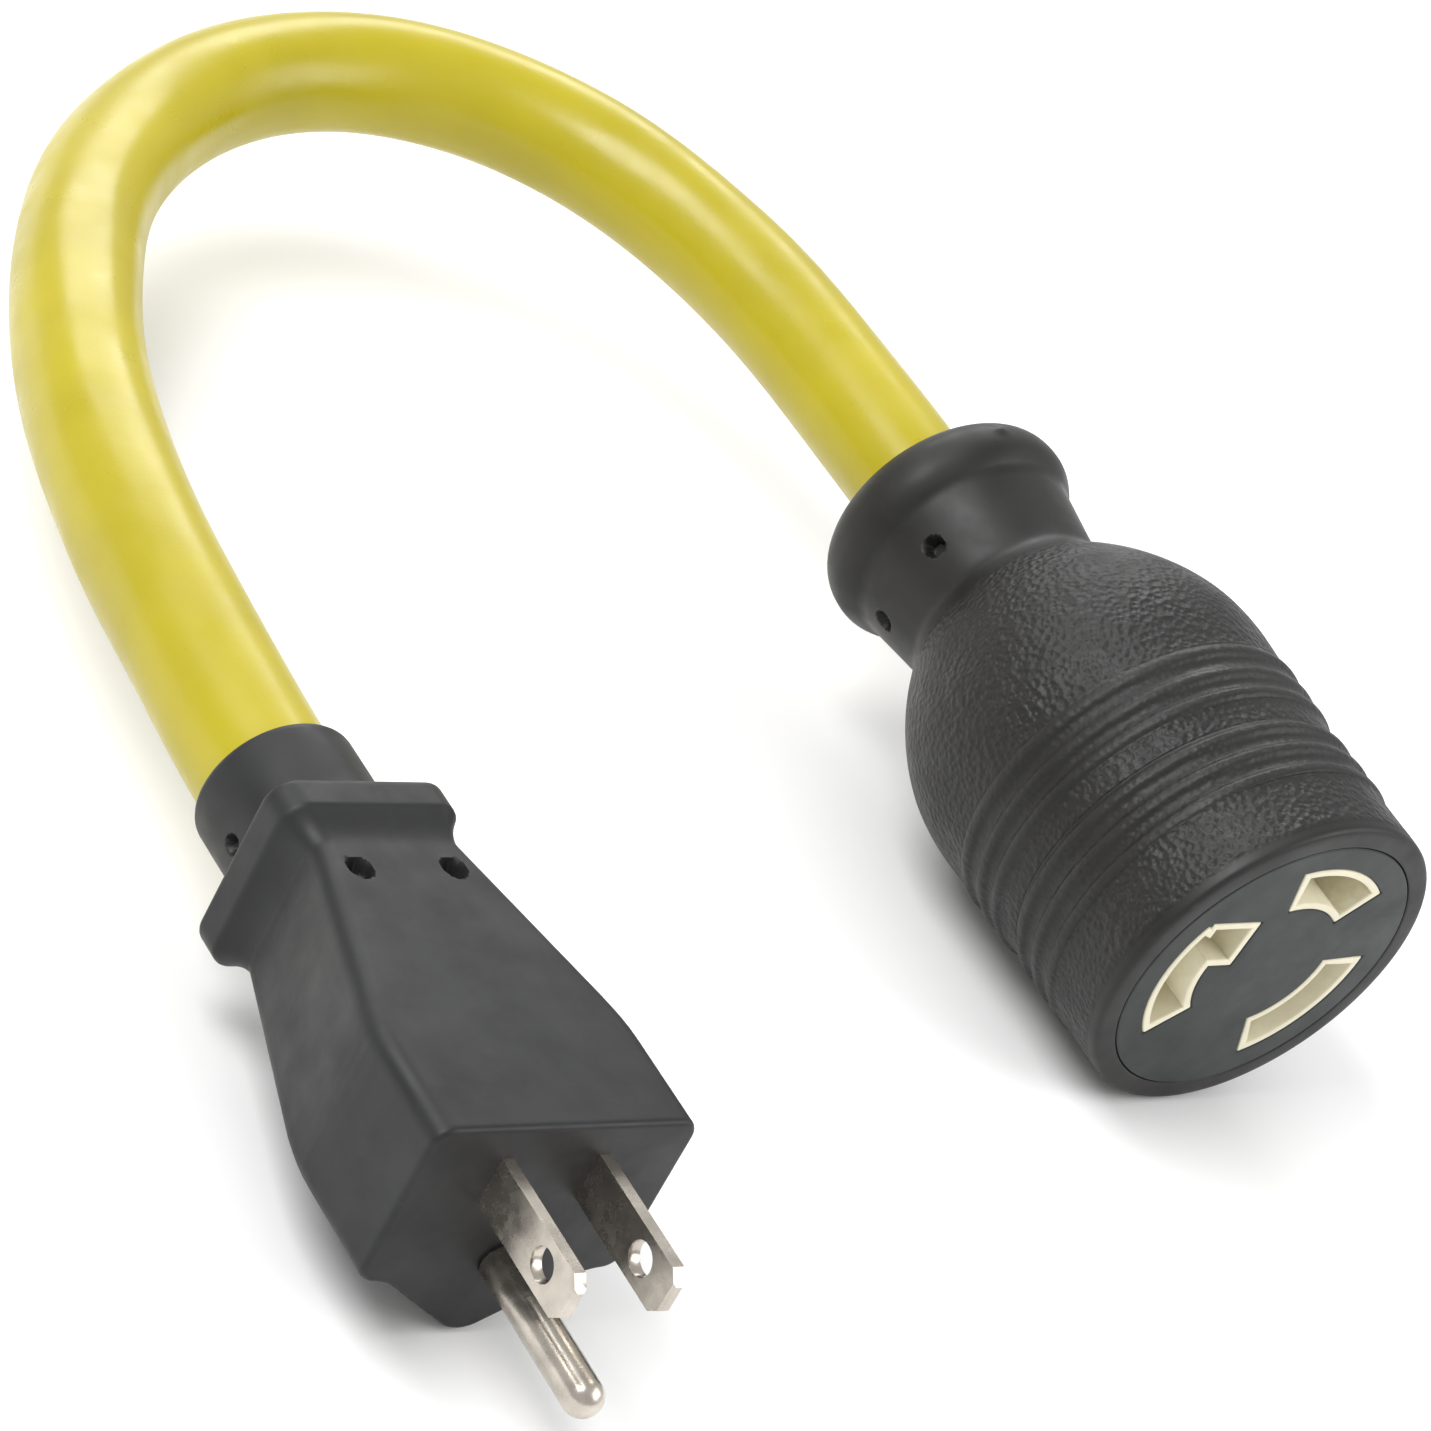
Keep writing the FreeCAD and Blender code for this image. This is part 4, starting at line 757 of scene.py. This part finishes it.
def plug_ring(depth, radii):
    """One ring in the plug's axes, with two pits in the top and one in the collar's side."""
    x, z = RAY_X * radii, CORD_Z + RAY_Z * radii
    for pit_x in TOP_PITS_X:
        distance = np.hypot(x - pit_x, depth - TOP_PITS_DEPTH)
        z = z - np.where(z > 5, pit(distance, radius=1.5, depth=1.9), 0)
    arc = angle_from(PLUG_ANGLES, COLLAR_PIT_ANGLE) * COLLAR_RADIUS
    sunk = pit(np.hypot(arc, depth - COLLAR_PIT_DEPTH), radius=1.1, depth=1.3)
    return np.stack([x - RAY_X * sunk, z - RAY_Z * sunk, np.full(len(x), -depth)], 1)


def plug_axis(centres):
    axis = centres.copy()
    axis[:, 0] = PLUG_PLACE[0]
    axis[:, 2] = PLUG_PLACE[2] + CORD_Z
    return axis


def build_plug():
    rings = np.array([plug_ring(depth, radii) for depth, radii in plug_stations()])
    block = ring_object(
        "plug_moulding", PLUG_PLACE + rings @ PLUG_AXES.T, plug_axis, cap_first=True)
    paint(block, "black_pvc")
    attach(block, "plug")
    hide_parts("plug_overmold")
    return block


for moulding in (build_plug(), connector_shell):
    split = moulding.modifiers.new("split", "EDGE_SPLIT")
    split.split_angle = math.radians(50)

# small edge breaks on parts kept from the frame: bevel width in metres
EDGE_BREAKS = {
    "line_blade": 0.00018,
    "neutral_blade": 0.00018,
    "contact_carrier": 0.00025,
    "connector_face_insert": 0.00025,
}
for name, width in EDGE_BREAKS.items():
    weld = NODES[name].modifiers.new("weld", "WELD")
    weld.merge_threshold = 0.000002
    bevel = NODES[name].modifiers.new("edge", "BEVEL")
    bevel.width = width
    bevel.segments = 2
    bevel.limit_method = "ANGLE"
    bevel.angle_limit = math.radians(40)
    bevel.harden_normals = True

# ---------------------------------------------------------------- floor, light, camera
FLOOR_HALF, FLOOR_Z = 4, -0.0004              # metres
CAMERA_PLACE = np.array([-380.998, -379.383, 321.335])
CAMERA_RIGHT = np.array([0.77314, -0.46924, 0.42669])
CAMERA_DOWN = np.array([0.02179, -0.65272, -0.75729])
CAMERA_AHEAD = np.array([0.63386, 0.59479, -0.49442])


def build_floor():
    mesh = bpy.data.meshes.new("floor")
    corners = [(-1, -1), (1, -1), (1, 1), (-1, 1)]
    mesh.from_pydata(
        [(x * FLOOR_HALF, y * FLOOR_HALF, FLOOR_Z) for x, y in corners], [], [(0, 1, 2, 3)])
    floor = link_new("floor", mesh)
    material = bpy.data.materials.new("floor")
    material.use_nodes = True
    principled = material.node_tree.nodes["Principled BSDF"]
    principled.inputs["Base Color"].default_value = (0.86, 0.86, 0.86, 1)
    principled.inputs["Roughness"].default_value = 0.8
    mesh.materials.append(material)
    floor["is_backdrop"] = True


def light_world():
    scene = bpy.context.scene
    scene.world = scene.world or bpy.data.worlds.new("world")
    scene.world.use_nodes = True
    background = scene.world.node_tree.nodes["Background"]
    background.inputs["Color"].default_value = (1, 1, 1, 1)
    background.inputs["Strength"].default_value = 0.68
    scene.view_settings.view_transform = "Standard"


def area_light(name, place, size, watts):
    light = bpy.data.lights.new(name, "AREA")
    light.shape = "RECTANGLE"
    light.size, light.size_y = size
    light.energy = watts
    lamp = link_new(name, light)
    lamp.location = place
    aim = Vector((0, 0, 0.02)) - Vector(place)
    lamp.rotation_euler = aim.to_track_quat("-Z", "Y").to_euler()
    lamp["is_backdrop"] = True


def build_camera():
    data = bpy.data.cameras.new("camera")
    data.sensor_width = 36.0
    data.lens = 125.78616352
    data.clip_start = 0.01
    camera = link_new("camera", data)
    view = np.eye(4)
    columns = [CAMERA_RIGHT, -CAMERA_DOWN, -CAMERA_AHEAD, CAMERA_PLACE / MM_PER_M]
    view[:3] = np.stack(columns, 1)
    camera.matrix_world = Matrix(view.tolist())
    bpy.context.scene.camera = camera


build_floor()
light_world()
area_light("key", place=(-0.55, 0.15, 0.85), size=(0.7, 0.5), watts=9.0)
area_light("fill", place=(0.6, -0.6, 0.6), size=(0.8, 0.6), watts=4.5)
area_light("back", place=(0.3, 0.9, 0.6), size=(0.9, 0.4), watts=5.0)
build_camera()

AFTER = as_lists(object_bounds())
